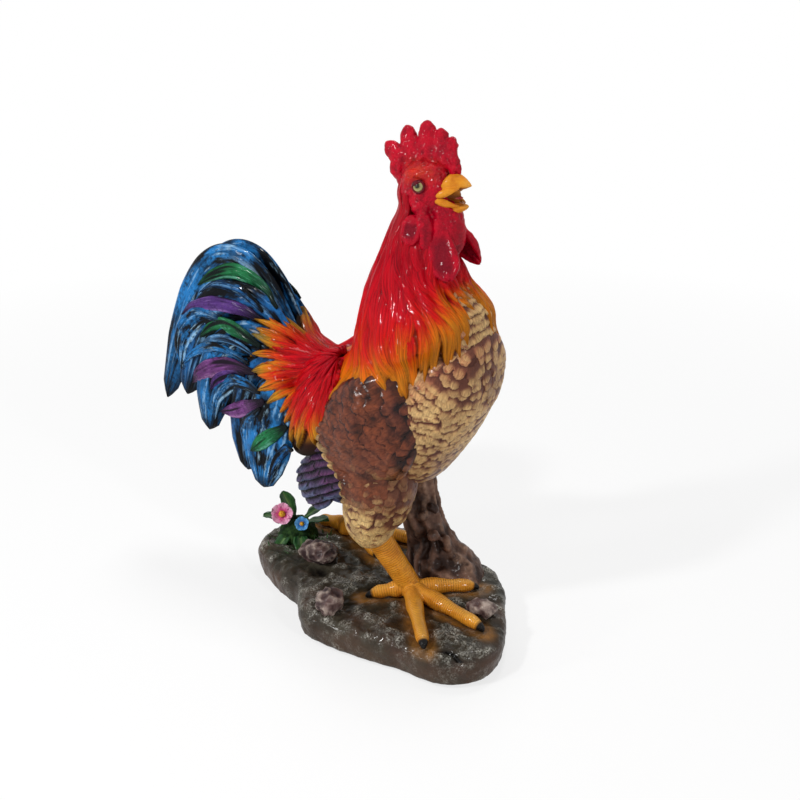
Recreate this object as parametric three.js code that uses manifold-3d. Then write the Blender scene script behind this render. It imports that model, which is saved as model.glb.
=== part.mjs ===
// A painted resin rooster standing on a rocky base, with a tree stump under its breast.
// It is a set of castings bonded together over steel rods, with clay flowers set in the base.
// Units are millimetres. +Z is up and the bird faces +X.
// The origin is the middle of the base's flat underside.
import * as THREE from "three";
import { mergeVertices } from "three/addons/utils/BufferGeometryUtils.js";
import Module from "manifold-3d";

const wasm = await Module();
wasm.setup();

// Driving dimensions

// Every bonded seam keeps this gap for its glue.
const BOND_GAP = 0.3;

// The base and where the bird stands on it.
const BASE_THICK = 28;
const BASE_SHOULDER = 11;
const BIRD_OFFSET = 15;
const RIGHT_FOOT = new THREE.Vector2(27, -4);
const LEFT_FOOT = new THREE.Vector2(-72, 57);
const BASE_OUTLINE = [
  [113, -4],
  [97, 26],
  [80, 56],
  [45, 82],
  [-10, 93],
  [-62, 95],
  [-108, 78],
  [-135, 44],
  [-133, 4],
  [-93, -24],
  [-60, -38],
  [-35, -66],
  [12, -71],
  [54, -68],
  [86, -69],
  [110, -55],
  [119, -31],
];

// The torso, hung by its centre over the base.
const BODY_RISE = 157;
const BODY_FORWARD = 11;
const TORSO_LENGTH = 146;
const TORSO_WIDTH = 108;
const TORSO_DEPTH = 118;

// The neck with its cape of hackle feathers, and the head.
const NECK_RISE = 165;
const NECK_FORWARD = 18;
const NECK_WIDTH = 36;
const CAPE_OVERHANG = 2;
const CAPE_WIDTH = TORSO_WIDTH + 2 * CAPE_OVERHANG;
const CAPE_DEPTH = TORSO_DEPTH + 4 * CAPE_OVERHANG;
const CAPE_SLANT = 29;
// The cape's main locks: how many, the depth of the grooves between them and their swing forward.
const CAPE_LOCKS = 22;
const CAPE_GROOVE = 2.2;
const CAPE_SWING = 22;
const HEAD_LENGTH = 44;
const HEAD_WIDTH = 36;
const HEAD_HEIGHT = 44;

// The comb, beak, wattles, ear lobes and eyes.
const COMB_THICK = 9;
const COMB_HEIGHT = 26;
const COMB_LENGTH = 56;
const COMB_POINT_WIDTH = 14;
// Each point of the comb: where along the comb it stands, its lean forward and its height.
const COMB_POINTS = [
  { along: 0.26, lean: 9, height: 13 },
  { along: 0.22, lean: 6, height: 27 },
  { along: 0.1, lean: 3, height: 34 },
  { along: -0.04, lean: -1, height: 40 },
  { along: -0.26, lean: -7, height: 36 },
  { along: -0.38, lean: -21, height: 20 },
  { along: -0.4, lean: -14, height: 4 },
];
const BEAK_LENGTH = 21;
const BEAK_WIDTH = 17;
const BEAK_GAPE = 15;
const TONGUE_LENGTH = 15;
const WATTLE_LENGTH = 43;
const WATTLE_WIDTH = 22;
const WATTLE_THICK = 9;
const LOBE_LENGTH = 19;
const LOBE_WIDTH = 12;
const LOBE_THICK = 8;
const EYE_RADIUS = 4.4;
const LEFT = 1;
const RIGHT = -1;

// Wings, folded flight feathers and saddle feathers.
const WING_LENGTH = 86;
const WING_HEIGHT = 84;
const WING_BULGE = 15;
const FLIGHT_LENGTH = 72;
const FLIGHT_WIDTH = 44;
const FLIGHT_THICK = 17;
const SADDLE_LENGTH = 94;
const SADDLE_WIDTH = 52;
const SADDLE_THICK = 18;

// The tail: a core with sickle feathers fanned on each side of it.
const TAIL_REACH = 145;
const SICKLE_WIDTH = 46;
const SICKLE_THICK = 8;
const SICKLE_PITCH = 7.6;
const SICKLE_SPLAY = 0.05;
const CORE_LENGTH = 78;
const CORE_WIDTH = 6 * SICKLE_PITCH;
const CORE_DEPTH = 52;
const CORE_LIFT = 6;
// Each sickle follows a curve from the core: two handles and a tip, back and up from its root,
// as shares of the tail's reach. Wide is a share of the sickle's width.
const SICKLES = [
  { name: "top", wide: 0.91, rise: [0.4, 0.717], sweep: [0.607, 0.8], tip: [1, -0.324] },
  { name: "main", wide: 1, rise: [0.262, 0.469], sweep: [0.621, 0.483], tip: [0.8, -0.248] },
  { name: "side", wide: 1, rise: [0.234, 0.262], sweep: [0.552, 0.152], tip: [0.607, -0.414] },
  { name: "low", wide: 1, rise: [0.138, 0.083], sweep: [0.29, -0.124], tip: [0.303, -0.579] },
  { name: "under", wide: 1, rise: [0.014, 0], sweep: [0.138, -0.303], tip: [0.159, -0.634] },
];

// Raised coverts on the sickles: the sickle that carries each, its width, and its route back and up
// from that sickle's root, as shares of the tail's reach.
const COVERT_THICK = 6;
const COVERTS = [
  { on: "top", width: 9, route: [[0.179, 0.413], [0.337, 0.517], [0.579, 0.503], [0.682, 0.434]] },
  { on: "main", width: 8, route: [[0.213, 0.351], [0.386, 0.454], [0.537, 0.454], [0.641, 0.406]] },
  { on: "main", width: 8, route: [[0.227, 0.31], [0.441, 0.351], [0.565, 0.344], [0.751, 0.268]] },
  { on: "main", width: 14, route: [[0.503, 0.275], [0.648, 0.275], [0.751, 0.192], [0.813, -0.035]] },
  { on: "main", width: 9, route: [[0.406, 0.254], [0.503, 0.234], [0.579, 0.199], [0.648, 0.151]] },
  { on: "side", width: 9, route: [[0.227, 0.186], [0.31, 0.227], [0.406, 0.248]] },
  { on: "side", width: 6, route: [[0.241, 0.13], [0.413, 0.179], [0.523, 0.158]] },
  { on: "side", width: 12, route: [[0.351, 0.02], [0.489, 0], [0.592, -0.042], [0.675, -0.104]] },
  { on: "side", width: 12, route: [[0.323, -0.049], [0.427, -0.09], [0.523, -0.194], [0.551, -0.339]] },
  { on: "low", width: 10, route: [[0.254, -0.166], [0.323, -0.208], [0.399, -0.249]] },
  { on: "low", width: 9, route: [[0.227, -0.221], [0.275, -0.277], [0.289, -0.38], [0.254, -0.511]] },
  { on: "under", width: 9, route: [[0.02, -0.249], [0.13, -0.339], [0.199, -0.401]] },
];

// Legs: feathered thighs, scaled shanks, toes and the steel rods inside them.
const RIGHT_KNEE = new THREE.Vector2(1, -19);
const LEFT_KNEE = new THREE.Vector2(-44, 50);
const KNEE_RISE = 60;
const THIGH_WIDTH = 58;
const CUFF_WIDTH = 26;
const CUFF_DROP = 13;
const SHANK_WIDTH = 21;
const ANKLE_WIDTH = 18;
const ANKLE_RISE = 9;
const TOE_LENGTH = 79;
const TOE_WIDTH = 14;
const TOE_TIP_WIDTH = 9;
const CLAW_LENGTH = 9;
const SPUR_LENGTH = 26;
const SPUR_WIDTH = 10;
const ROD_WIDTH = 6;
const ROD_BITE = 14;
const DOWEL_WIDTH = 8;
const DOWEL_LENGTH = 56;
// Toe directions are degrees to the left of straight ahead, reaches are shares of the longest toe.
const RIGHT_TOES = [
  { turn: 40, reach: 0.71 },
  { turn: -13, reach: 0.99 },
  { turn: -51, reach: 1 },
  { turn: -140, reach: 0.46 },
];
const LEFT_TOES = [
  { turn: -30, reach: 0.71 },
  { turn: 12, reach: 0.84 },
  { turn: 50, reach: 0.58 },
  { turn: 180, reach: 0.48 },
];

// The stump, rocks, and the flowers in their clump of moss.
const STUMP_FOOT = new THREE.Vector2(33, 42);
const STUMP_TOP = new THREE.Vector2(7, 36);
const STUMP_WIDTH = 32;
const STUMP_FLARE = 70;
const ROCK_SINK = 4;
const ROCKS = [
  { name: "rock_by_flowers", at: [-68, 4], size: [34, 24, 22] },
  { name: "rock_at_edge", at: [-14, -56], size: [20, 24, 24] },
  { name: "rock_by_toes", at: [88, 2], size: [24, 16, 17] },
];
const CLUMP_AT = new THREE.Vector2(-107, 28);
const CLUMP_WIDTH = 36;
const CLUMP_RISE = 20;
// Each flower's place is measured from the middle of the clump's foot.
const FLOWERS = [
  { name: "pink_flower", width: 18.5, at: [-8, -11, 24] },
  { name: "blue_flower", width: 12, at: [9, -6, 17] },
];
const FLOWER_TURN = -58;
const FLOWER_TILT = 32;
const PETAL_COUNT = 5;
const PETAL_THICK = 2;
const STALK_WIDTH = 4;
const LEAF_WIDTH = 13;
const LEAF_LENGTH = 25;
const LEAF_THICK = 2.4;
const LEAVES = [
  { turn: 160, tilt: 48 },
  { turn: 196, tilt: 12 },
  { turn: 262, tilt: -24 },
  { turn: 314, tilt: -20 },
  { turn: 60, tilt: 30 },
  { turn: 8, tilt: 24 },
];

// Paint

const paint = (color, roughness, metalness = 0) =>
  new THREE.MeshStandardMaterial({ color, roughness, metalness });
const PAINT = {
  ground: paint(0x4a4238, 0.75),
  bark: paint(0x54382c, 0.65),
  rock: paint(0x6a5650, 0.7),
  moss: paint(0x1f3a1c, 0.6),
  leaf: paint(0x24502a, 0.45),
  pink: paint(0xe58bb5, 0.4),
  blue: paint(0x3d93d8, 0.4),
  pollen: paint(0xe8c247, 0.5),
  leg: paint(0xc8861f, 0.35),
  breast: paint(0x8a6a3e, 0.45),
  wing: paint(0x553022, 0.3),
  flight: paint(0x3c2c48, 0.4),
  hackle: paint(0xc81a1a, 0.25),
  saddle: paint(0xc4161a, 0.25),
  comb: paint(0xb00d24, 0.2),
  beak: paint(0xd08a22, 0.35),
  tongue: paint(0x9c2a30, 0.35),
  eye: paint(0x9a9a4a, 0.1),
  sickle: paint(0x1d5f9e, 0.3),
  steel: paint(0x9a9da0, 0.35, 1),
};

// Geometry helpers

const vec = (x, y, z) => new THREE.Vector3(x, y, z);
const Z_AXIS = vec(0, 0, 1);
const radians = THREE.MathUtils.degToRad;

// A section of a loft: its centre and its two half-axes.
const section = (at, u, v) => ({ at, u, v });

// The same section made larger all round.
function grown(s, by) {
  const longer = (axis) => axis.clone().setLength(axis.length() + by);
  return section(s.at, longer(s.u), longer(s.v));
}

// How far a rounded end has swelled, from 0 at its tip to 1 where the full section starts.
function swell(share) {
  if (!(share < 1)) return 1;
  return Math.sqrt(1 - (1 - share) ** 2);
}

const asTurned = (t, turn) => ({ turn, share: 1 });

// A closed skin through sections. Each end is rounded over a share of the length, or flat at 0.
// Carve gives each point its turn round the section and its share of the full size.
function loft(
  sections,
  { steps = 16, sides = 16, roundStart = 0, roundEnd = 0, grow = 0, carve = asTurned } = {},
) {
  const wide = sections.map((s) => grown(s, grow));
  const along = (pick) => new THREE.CatmullRomCurve3(wide.map(pick), false, "catmullrom");
  const centres = along((s) => s.at);
  const us = along((s) => s.u);
  const vs = along((s) => s.v);
  const first = centres.getPoint(0).addScaledVector(centres.getTangent(0), -grow);
  const last = centres.getPoint(1).addScaledVector(centres.getTangent(1), grow);
  const points = [first];
  const rows = [];
  for (let i = 0; i <= steps; i++) {
    const t = (1 - Math.cos((Math.PI * i) / steps)) / 2;
    const size = swell(t / roundStart) * swell((1 - t) / roundEnd);
    if (!(size > 0)) continue;
    const flatEnd = i === 0 ? first : i === steps ? last : null;
    const centre = flatEnd ?? centres.getPoint(t);
    rows.push(points.length);
    for (let k = 0; k < sides; k++) {
      const { turn, share } = carve(t, (2 * Math.PI * k) / sides);
      const p = centre.clone();
      p.addScaledVector(us.getPoint(t), size * share * Math.cos(turn));
      p.addScaledVector(vs.getPoint(t), size * share * Math.sin(turn));
      points.push(p);
    }
  }
  const tip = points.push(last) - 1;
  const faces = [];
  for (let k = 0; k < sides; k++) {
    const next = (k + 1) % sides;
    faces.push(0, rows[0] + next, rows[0] + k);
    for (let r = 1; r < rows.length; r++) {
      const [low, high] = [rows[r - 1], rows[r]];
      faces.push(low + k, low + next, high + next, low + k, high + next, high + k);
    }
    faces.push(tip, rows.at(-1) + k, rows.at(-1) + next);
  }
  const geometry = new THREE.BufferGeometry().setFromPoints(points);
  geometry.setIndex(faces);
  return geometry;
}

// A section across the bird's mid-plane: half as wide as width, and tipped forward by pitch degrees.
function crossSection(x, y, z, width, depth, pitch = 0) {
  const lean = radians(pitch);
  const deep = vec(Math.sin(lean), 0, Math.cos(lean)).multiplyScalar(depth / 2);
  return section(vec(x, y, z), vec(0, width / 2, 0), deep);
}

// Round sections along a row of points, one width for each point.
function limbSections(points, widths) {
  const route = new THREE.CatmullRomCurve3(points, false, "catmullrom");
  return points.map((at, i) => {
    const ahead = route.getTangent(i / (points.length - 1));
    const side = vec(0, 1, 0).cross(ahead).normalize();
    const up = ahead.clone().cross(side).normalize();
    return section(at, side.multiplyScalar(widths[i] / 2), up.multiplyScalar(widths[i] / 2));
  });
}

// Flat sections along a curve: shares gives the blade's width at even steps.
// The blade's flat side looks along face.
function bladeSections(curve, width, thick, shares, face) {
  return shares.map((share, i) => {
    const t = i / (shares.length - 1);
    const ahead = curve.getTangent(t);
    const across = face.clone().cross(ahead).normalize();
    const through = ahead.clone().cross(across).normalize();
    const u = across.multiplyScalar((width * share) / 2);
    return section(curve.getPoint(t), u, through.multiplyScalar((thick * Math.sqrt(share)) / 2));
  });
}

// A geometry as a solid that can be joined and cut, with its faces turned outwards.
function solidOf(geometry) {
  const bare = new THREE.BufferGeometry();
  bare.setAttribute("position", geometry.getAttribute("position"));
  bare.setIndex(geometry.index);
  const merged = mergeVertices(bare, 1e-4);
  const vertProperties = new Float32Array(merged.getAttribute("position").array);
  const triVerts = new Uint32Array(merged.index.array);
  const made = new wasm.Manifold(new wasm.Mesh({ numProp: 3, vertProperties, triVerts }));
  if (made.volume() > 0) return made;
  triVerts.reverse();
  return new wasm.Manifold(new wasm.Mesh({ numProp: 3, vertProperties, triVerts }));
}

// A solid with each of the others taken out of it. Offcuts that come loose are left out.
function cut(solid, ...others) {
  const left = others.reduce((rest, other) => rest.subtract(other), solid);
  return left.decompose().sort((a, b) => b.volume() - a.volume())[0];
}

const join = (...solids) => solids.reduce((whole, solid) => whole.add(solid));

function geometryOf(solid) {
  const { vertProperties, triVerts } = solid.getMesh();
  const geometry = new THREE.BufferGeometry();
  geometry.setAttribute("position", new THREE.BufferAttribute(vertProperties, 3));
  geometry.setIndex(new THREE.BufferAttribute(triVerts, 1));
  geometry.computeVertexNormals();
  return geometry;
}

const rooster = new THREE.Group();
rooster.name = "resin_rooster";

function addPiece(group, name, solid, material) {
  const mesh = new THREE.Mesh(geometryOf(solid), material);
  mesh.name = name;
  group.add(mesh);
}

function addGroup(name) {
  const group = new THREE.Group();
  group.name = name;
  rooster.add(group);
  return group;
}

// Where things are

const GROUND = BASE_THICK;
const TORSO_AT = vec(BODY_FORWARD, BIRD_OFFSET, GROUND + BODY_RISE);

// A place on the torso, as shares of its half-length, half-width and half-depth from its centre.
function onTorso(along, aside, up) {
  const offset = vec((along * TORSO_LENGTH) / 2, (aside * TORSO_WIDTH) / 2, (up * TORSO_DEPTH) / 2);
  return offset.add(TORSO_AT);
}

const HEAD_AT = vec(NECK_FORWARD, 0, NECK_RISE).add(TORSO_AT);

// A place on the head, as shares of its half-sizes from its centre.
function onHead(along, aside, up) {
  const offset = vec((along * HEAD_LENGTH) / 2, (aside * HEAD_WIDTH) / 2, (up * HEAD_HEIGHT) / 2);
  return offset.add(HEAD_AT);
}

// Base

// The base is rings of its outline, drawn in at the foot and over the shoulder.
function baseSolid(grow = 0) {
  const outline = new THREE.CatmullRomCurve3(
    BASE_OUTLINE.map(([x, y]) => vec(x, y, 0)),
    true,
    "catmullrom",
  );
  const pointCount = 4 * BASE_OUTLINE.length;
  const rim = [...Array(pointCount).keys()].map((k) => outline.getPoint(k / pointCount));
  const outward = rim.map((p, k) => outline.getTangent(k / pointCount).cross(Z_AXIS).normalize());
  const levels = [
    [0, 0.7 * BASE_SHOULDER],
    [0.35 * BASE_SHOULDER, 0.22 * BASE_SHOULDER],
  ];
  for (let i = 0; i <= 3; i++) {
    const turn = (i / 3) * (Math.PI / 2);
    const inset = BASE_SHOULDER * (1 - Math.cos(turn));
    levels.push([BASE_THICK - BASE_SHOULDER * (1 - Math.sin(turn)), inset]);
  }
  const points = [];
  for (const [height, inset] of levels) {
    rim.forEach((p, k) => {
      const z = height + (height > 0 ? grow : -grow);
      points.push(p.clone().addScaledVector(outward[k], grow - inset).setZ(z));
    });
  }
  const under = points.push(vec(0, 0, -grow)) - 1;
  const top = points.push(vec(0, 0, BASE_THICK + grow)) - 1;
  const faces = [];
  for (let k = 0; k < pointCount; k++) {
    const next = (k + 1) % pointCount;
    faces.push(under, next, k);
    for (let row = 0; row + 1 < levels.length; row++) {
      const low = row * pointCount;
      const high = low + pointCount;
      faces.push(low + k, low + next, high + next, low + k, high + next, high + k);
    }
    const rimRow = (levels.length - 1) * pointCount;
    faces.push(top, rimRow + k, rimRow + next);
  }
  const geometry = new THREE.BufferGeometry().setFromPoints(points);
  geometry.setIndex(faces);
  return solidOf(geometry);
}

// Torso, neck and head

function torsoSolid(grow = 0) {
  // Along the length: height of the centre, width and depth, as shares of the torso's own half-sizes.
  const profile = [
    [-1, 0.2, 0.3, 0.24],
    [-0.77, 0.04, 0.64, 0.44],
    [-0.44, -0.1, 0.88, 0.72],
    [-0.04, -0.15, 1, 0.98],
    [0.36, 0.03, 0.96, 1],
    [0.69, 0.34, 0.8, 0.8],
    [0.91, 0.58, 0.58, 0.54],
    [1, 0.64, 0.44, 0.42],
  ];
  const sections = profile.map(([along, up, wide, deep]) => {
    const at = onTorso(along, 0, up);
    return crossSection(at.x, at.y, at.z, wide * TORSO_WIDTH, deep * TORSO_DEPTH);
  });
  return solidOf(loft(sections, { steps: 18, sides: 24, roundStart: 0.1, roundEnd: 0.12, grow }));
}

// The cape hangs from the head and spreads over the shoulders, its hem higher in front than behind.
// The cape with its locks carved in it. Grown, it is smooth and clears them all.
function capeSolid(grow = 0) {
  const top = onHead(-0.05, 0, -0.5);
  const hem = onTorso(0.28, 0, 0.62);
  const profile = [
    [0, 0, NECK_WIDTH, NECK_WIDTH, 0],
    [0.25, -6, 1.24 * NECK_WIDTH, 1.4 * NECK_WIDTH, 0.15],
    [0.5, -9, 0.6 * CAPE_WIDTH, 0.6 * CAPE_DEPTH, 0.4],
    [0.75, -5, 0.88 * CAPE_WIDTH, 0.86 * CAPE_DEPTH, 0.8],
    [1, 0, CAPE_WIDTH, 0.97 * CAPE_DEPTH, 1],
  ];
  const sections = profile.map(([t, bow, width, depth, slant]) => {
    const at = top.clone().lerp(hem, t);
    return crossSection(at.x + bow, at.y, at.z, width, depth, 90 - slant * CAPE_SLANT);
  });
  const locks = Math.round(CAPE_LOCKS);
  const carve = (t, turn) => {
    const swing = radians(CAPE_SWING) * Math.cos(turn) * THREE.MathUtils.smoothstep(t, 0.15, 0.9);
    const inGroove = Math.cos(locks * turn) > 0.9;
    const depth = inGroove && grow === 0 ? CAPE_GROOVE * THREE.MathUtils.smoothstep(t, 0.05, 0.4) : 0;
    const radius = THREE.MathUtils.lerp(NECK_WIDTH, CAPE_WIDTH, t) / 2;
    return { turn: turn + swing, share: 1 - depth / radius };
  };
  const sides = 3 * locks;
  return solidOf(loft(sections, { steps: 13, sides, roundStart: 0.12, roundEnd: 0.14, grow, carve }));
}

function headSolid(grow = 0) {
  const profile = [
    [-1, -0.1, 0.5, 0.5],
    [-0.55, -0.04, 0.9, 0.9],
    [0, 0, 1, 1],
    [0.55, 0.06, 0.84, 0.86],
    [1, 0.08, 0.5, 0.6],
  ];
  const sections = profile.map(([along, up, wide, deep]) => {
    const at = onHead(along, 0, up);
    return crossSection(at.x, at.y, at.z, wide * HEAD_WIDTH, deep * HEAD_HEIGHT);
  });
  return solidOf(loft(sections, { steps: 10, sides: 16, roundStart: 0.3, roundEnd: 0.2, grow }));
}

// The comb is a ridge along the crown with a row of points, its root sunk in the head.
function combSolid(grow = 0) {
  const root = onHead(0.1, 0, 0.5);
  const place = (along, up) => vec(along * COMB_LENGTH, 0, up * COMB_HEIGHT).add(root);
  const face = vec(0, 1, 0);
  const crown = new THREE.QuadraticBezierCurve3(place(0.28, 0.36), place(0, 0.76), place(-0.36, 0.3));
  const nape = new THREE.LineCurve3(place(-0.36, 0.5), place(-0.46, -0.45));
  const crownSections = bladeSections(crown, COMB_HEIGHT, COMB_THICK, [0.56, 0.9, 1, 0.96, 0.8], face);
  const napeSections = bladeSections(nape, COMB_HEIGHT, COMB_THICK, [0.8, 0.8, 0.68, 0.42], face);
  const pieces = [
    loft(crownSections, { steps: 9, sides: 8, roundStart: 0.12, roundEnd: 0.12, grow }),
    loft(napeSections, { steps: 7, sides: 8, roundStart: 0.12, roundEnd: 0.2, grow }),
  ];
  for (const { along, lean, height } of COMB_POINTS) {
    const foot = place(along, 0.32);
    const tip = place(along, 0).add(vec(lean, 0, height));
    const route = new THREE.LineCurve3(foot, tip);
    const sections = bladeSections(route, COMB_POINT_WIDTH, COMB_THICK, [0.8, 1.15, 1, 0.84], face);
    pieces.push(loft(sections, { steps: 5, sides: 8, roundEnd: 0.3, grow }));
  }
  return join(...pieces.map(solidOf));
}

// One half of the open beak: rise is its root's height above the gape's middle, and tip its tip's.
function beakSolid(rise, tip, depth, grow = 0) {
  const root = onHead(0.62, 0, 0);
  const profile = [
    [-0.06, rise, 1, 1],
    [0.15, rise, 1, 1],
    [0.55, 0.6 * rise + 0.4 * tip, 0.68, 0.7],
    [0.85, tip, 0.38, 0.42],
    [1, tip - 1, 0.14, 0.16],
  ];
  const sections = profile.map(([along, up, wide, deep]) =>
    crossSection(root.x + along * BEAK_LENGTH, root.y, root.z + up, wide * BEAK_WIDTH, deep * depth),
  );
  return solidOf(loft(sections, { steps: 10, sides: 12, roundEnd: 0.1, grow }));
}

const upperBeak = (grow) => beakSolid(0.4 * BEAK_GAPE, 0.48 * BEAK_GAPE, 0.82 * BEAK_WIDTH, grow);
const lowerBeak = (grow) => beakSolid(-0.6 * BEAK_GAPE, -0.56 * BEAK_GAPE, 0.6 * BEAK_WIDTH, grow);

function tongueSolid(grow = 0) {
  const root = onHead(0.62, 0, 0);
  const low = root.z - 0.3 * BEAK_GAPE;
  const sections = [
    crossSection(root.x, root.y, low, 0.4 * BEAK_WIDTH, 3.4),
    crossSection(root.x + 0.6 * TONGUE_LENGTH, root.y, low + 0.8, 0.34 * BEAK_WIDTH, 3),
    crossSection(root.x + TONGUE_LENGTH, root.y, low + 1.6, 0.18 * BEAK_WIDTH, 1.8),
  ];
  return solidOf(loft(sections, { steps: 6, sides: 8, roundEnd: 0.2, grow }));
}

// A wattle hangs from the corner of the jaw, flaring out and forward at its foot.
function wattleSolid(side, grow = 0) {
  const root = onHead(0.66, side * 0.5, -0.7);
  const route = new THREE.QuadraticBezierCurve3(
    root,
    root.clone().add(vec(0.04 * WATTLE_LENGTH, side * 4, -0.5 * WATTLE_LENGTH)),
    root.clone().add(vec(0.34 * WATTLE_LENGTH, side * 9, -WATTLE_LENGTH)),
  );
  const face = vec(0.35, side, 0).normalize();
  const sections = bladeSections(route, WATTLE_WIDTH, WATTLE_THICK, [0.5, 0.62, 0.84, 1, 0.8], face);
  return solidOf(loft(sections, { steps: 10, sides: 12, roundStart: 0.15, roundEnd: 0.3, grow }));
}

function lobeSolid(side, grow = 0) {
  const top = onHead(-0.02, side * 1.04, -0.78);
  const drop = vec(-0.06 * LOBE_LENGTH, side * 6, -LOBE_LENGTH);
  const route = new THREE.LineCurve3(top, top.clone().add(drop));
  const face = vec(0.2, side, 0.1).normalize();
  const sections = bladeSections(route, LOBE_WIDTH, LOBE_THICK, [0.6, 0.85, 1, 0.8], face);
  return solidOf(loft(sections, { steps: 8, sides: 10, roundStart: 0.3, roundEnd: 0.35, grow }));
}

function eyeSolid(side, grow = 0) {
  const at = onHead(0.08, side * 0.9, 0.26);
  const geometry = new THREE.SphereGeometry(EYE_RADIUS + grow, 10, 8);
  geometry.translate(at.x, at.y, at.z);
  return solidOf(geometry);
}

// Wings and feather packs

function wingSolid(side, grow = 0) {
  const bulge = 2 * WING_BULGE;
  const profile = [
    [-0.5, -0.16, 0.5, 0.5],
    [-0.28, -0.1, 0.8, 0.84],
    [0, 0, 1, 1],
    [0.28, 0.03, 0.94, 0.98],
    [0.5, 0.02, 0.66, 0.7],
  ];
  // The wing hangs from its shoulder, which the cape covers.
  const shoulder = onTorso(-0.06, side * 0.92, 0.63);
  const centre = shoulder.clone().setZ(shoulder.z - WING_HEIGHT / 2);
  const sections = profile.map(([along, up, thick, high]) => {
    const x = centre.x + along * WING_LENGTH;
    const inward = side * 14 * (along > 0 ? along : 0.6 * -along);
    const z = centre.z + up * WING_HEIGHT;
    return crossSection(x, centre.y - inward, z, thick * bulge, high * WING_HEIGHT);
  });
  return solidOf(loft(sections, { steps: 10, sides: 16, roundStart: 0.25, roundEnd: 0.25, grow }));
}

// The folded flight feathers run down and back from under the wing.
function flightSolid(side, grow = 0) {
  const root = onTorso(-0.34, side * 0.86, -0.44);
  const run = vec(-0.58, -0.05 * side, -0.76).multiplyScalar(FLIGHT_LENGTH);
  const route = new THREE.LineCurve3(root, root.clone().add(run));
  const face = vec(-0.2, side, 0.2).normalize();
  const sections = bladeSections(route, FLIGHT_WIDTH, FLIGHT_THICK, [0.8, 0.95, 1, 0.96, 0.8], face);
  return solidOf(loft(sections, { steps: 8, sides: 12, roundStart: 0.1, roundEnd: 0.16, grow }));
}

// The saddle feathers fall from the back over the flank.
function saddleSolid(side, grow = 0) {
  const root = onTorso(-0.36, side * 0.34, 0.4);
  const route = new THREE.CubicBezierCurve3(
    root,
    root.clone().add(vec(-0.26 * SADDLE_LENGTH, side * 14, 0.03 * SADDLE_LENGTH)),
    root.clone().add(vec(-0.42 * SADDLE_LENGTH, side * 26, -0.4 * SADDLE_LENGTH)),
    root.clone().add(vec(-0.46 * SADDLE_LENGTH, side * 28, -0.84 * SADDLE_LENGTH)),
  );
  const face = vec(-0.3, side, 0.45).normalize();
  const shares = [0.6, 0.9, 1, 0.9, 0.66, 0.36];
  const sections = bladeSections(route, SADDLE_WIDTH, SADDLE_THICK, shares, face);
  return solidOf(loft(sections, { steps: 10, sides: 12, roundStart: 0.1, roundEnd: 0.1, grow }));
}

// Tail

const TAIL_ROOT = onTorso(-0.7, 0, 0.14);

function coreSolid(grow = 0) {
  const profile = [
    [0, -0.5, 0.8, 0.5],
    [0.3, -0.2, 1, 0.8],
    [0.6, 0.55, 1, 1],
    [0.85, 0.85, 0.84, 0.84],
    [1, 1, 0.56, 0.56],
  ];
  const sections = profile.map(([along, up, wide, deep]) => {
    const x = TAIL_ROOT.x - along * CORE_LENGTH;
    const z = TAIL_ROOT.z + up * CORE_LIFT;
    return crossSection(x, TAIL_ROOT.y, z, wide * CORE_WIDTH, deep * CORE_DEPTH);
  });
  return solidOf(loft(sections, { steps: 10, sides: 14, roundStart: 0.1, roundEnd: 0.2, grow }));
}

// Where a sickle lies: the place that is a share of the tail's reach back and up from its root.
// The first sickle lies next to the mid-plane, the others outside it.
function onSickle(index, side, back, up) {
  const offset = side * (0.6 + index) * SICKLE_PITCH;
  const root = TAIL_ROOT.clone().add(vec(-0.5 * CORE_LENGTH, offset, -0.08 * CORE_DEPTH));
  return vec(-back, side * SICKLE_SPLAY * back, up).multiplyScalar(TAIL_REACH).add(root);
}

function sickleSolid(index, side, grow = 0) {
  const { wide, rise, sweep, tip } = SICKLES[index];
  const root = onSickle(index, side, 0, 0);
  const along = ([back, up]) => onSickle(index, side, back, up);
  const route = new THREE.CubicBezierCurve3(root, along(rise), along(sweep), along(tip));
  const shares = [0.45, 0.7, 0.9, 1, 1, 1, 0.94, 0.74, 0.3];
  const sections = bladeSections(route, wide * SICKLE_WIDTH, SICKLE_THICK, shares, vec(0, side, 0));
  return solidOf(loft(sections, { steps: 14, sides: 8, roundEnd: 0.06, grow }));
}

// A covert, half sunk in the outer face of the sickle that carries it.
function covertSolid({ width, route }, index, side) {
  const face = vec(0, side, 0);
  const points = route.map(([back, up]) =>
    onSickle(index, side, back, up).addScaledVector(face, SICKLE_THICK / 2),
  );
  const curve = new THREE.CatmullRomCurve3(points);
  const sections = bladeSections(curve, width, COVERT_THICK, [0.5, 0.9, 1, 0.8, 0.3], face);
  return solidOf(loft(sections, { steps: 6, sides: 6, roundStart: 0.1, roundEnd: 0.1 }));
}

// Legs

// The places that one leg runs through, from the hip to its ankle on the base.
function legPlan(side) {
  const foot = side === RIGHT ? RIGHT_FOOT : LEFT_FOOT;
  const ankle = vec(foot.x, foot.y, GROUND + ANKLE_RISE);
  const bend = side === RIGHT ? RIGHT_KNEE : LEFT_KNEE;
  const knee = vec(bend.x, bend.y, GROUND + KNEE_RISE);
  const hip = side === RIGHT ? onTorso(0.02, -0.55, -0.36) : onTorso(-0.24, 0.55, -0.36);
  return { hip, knee, ankle, toes: side === RIGHT ? RIGHT_TOES : LEFT_TOES };
}

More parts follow.
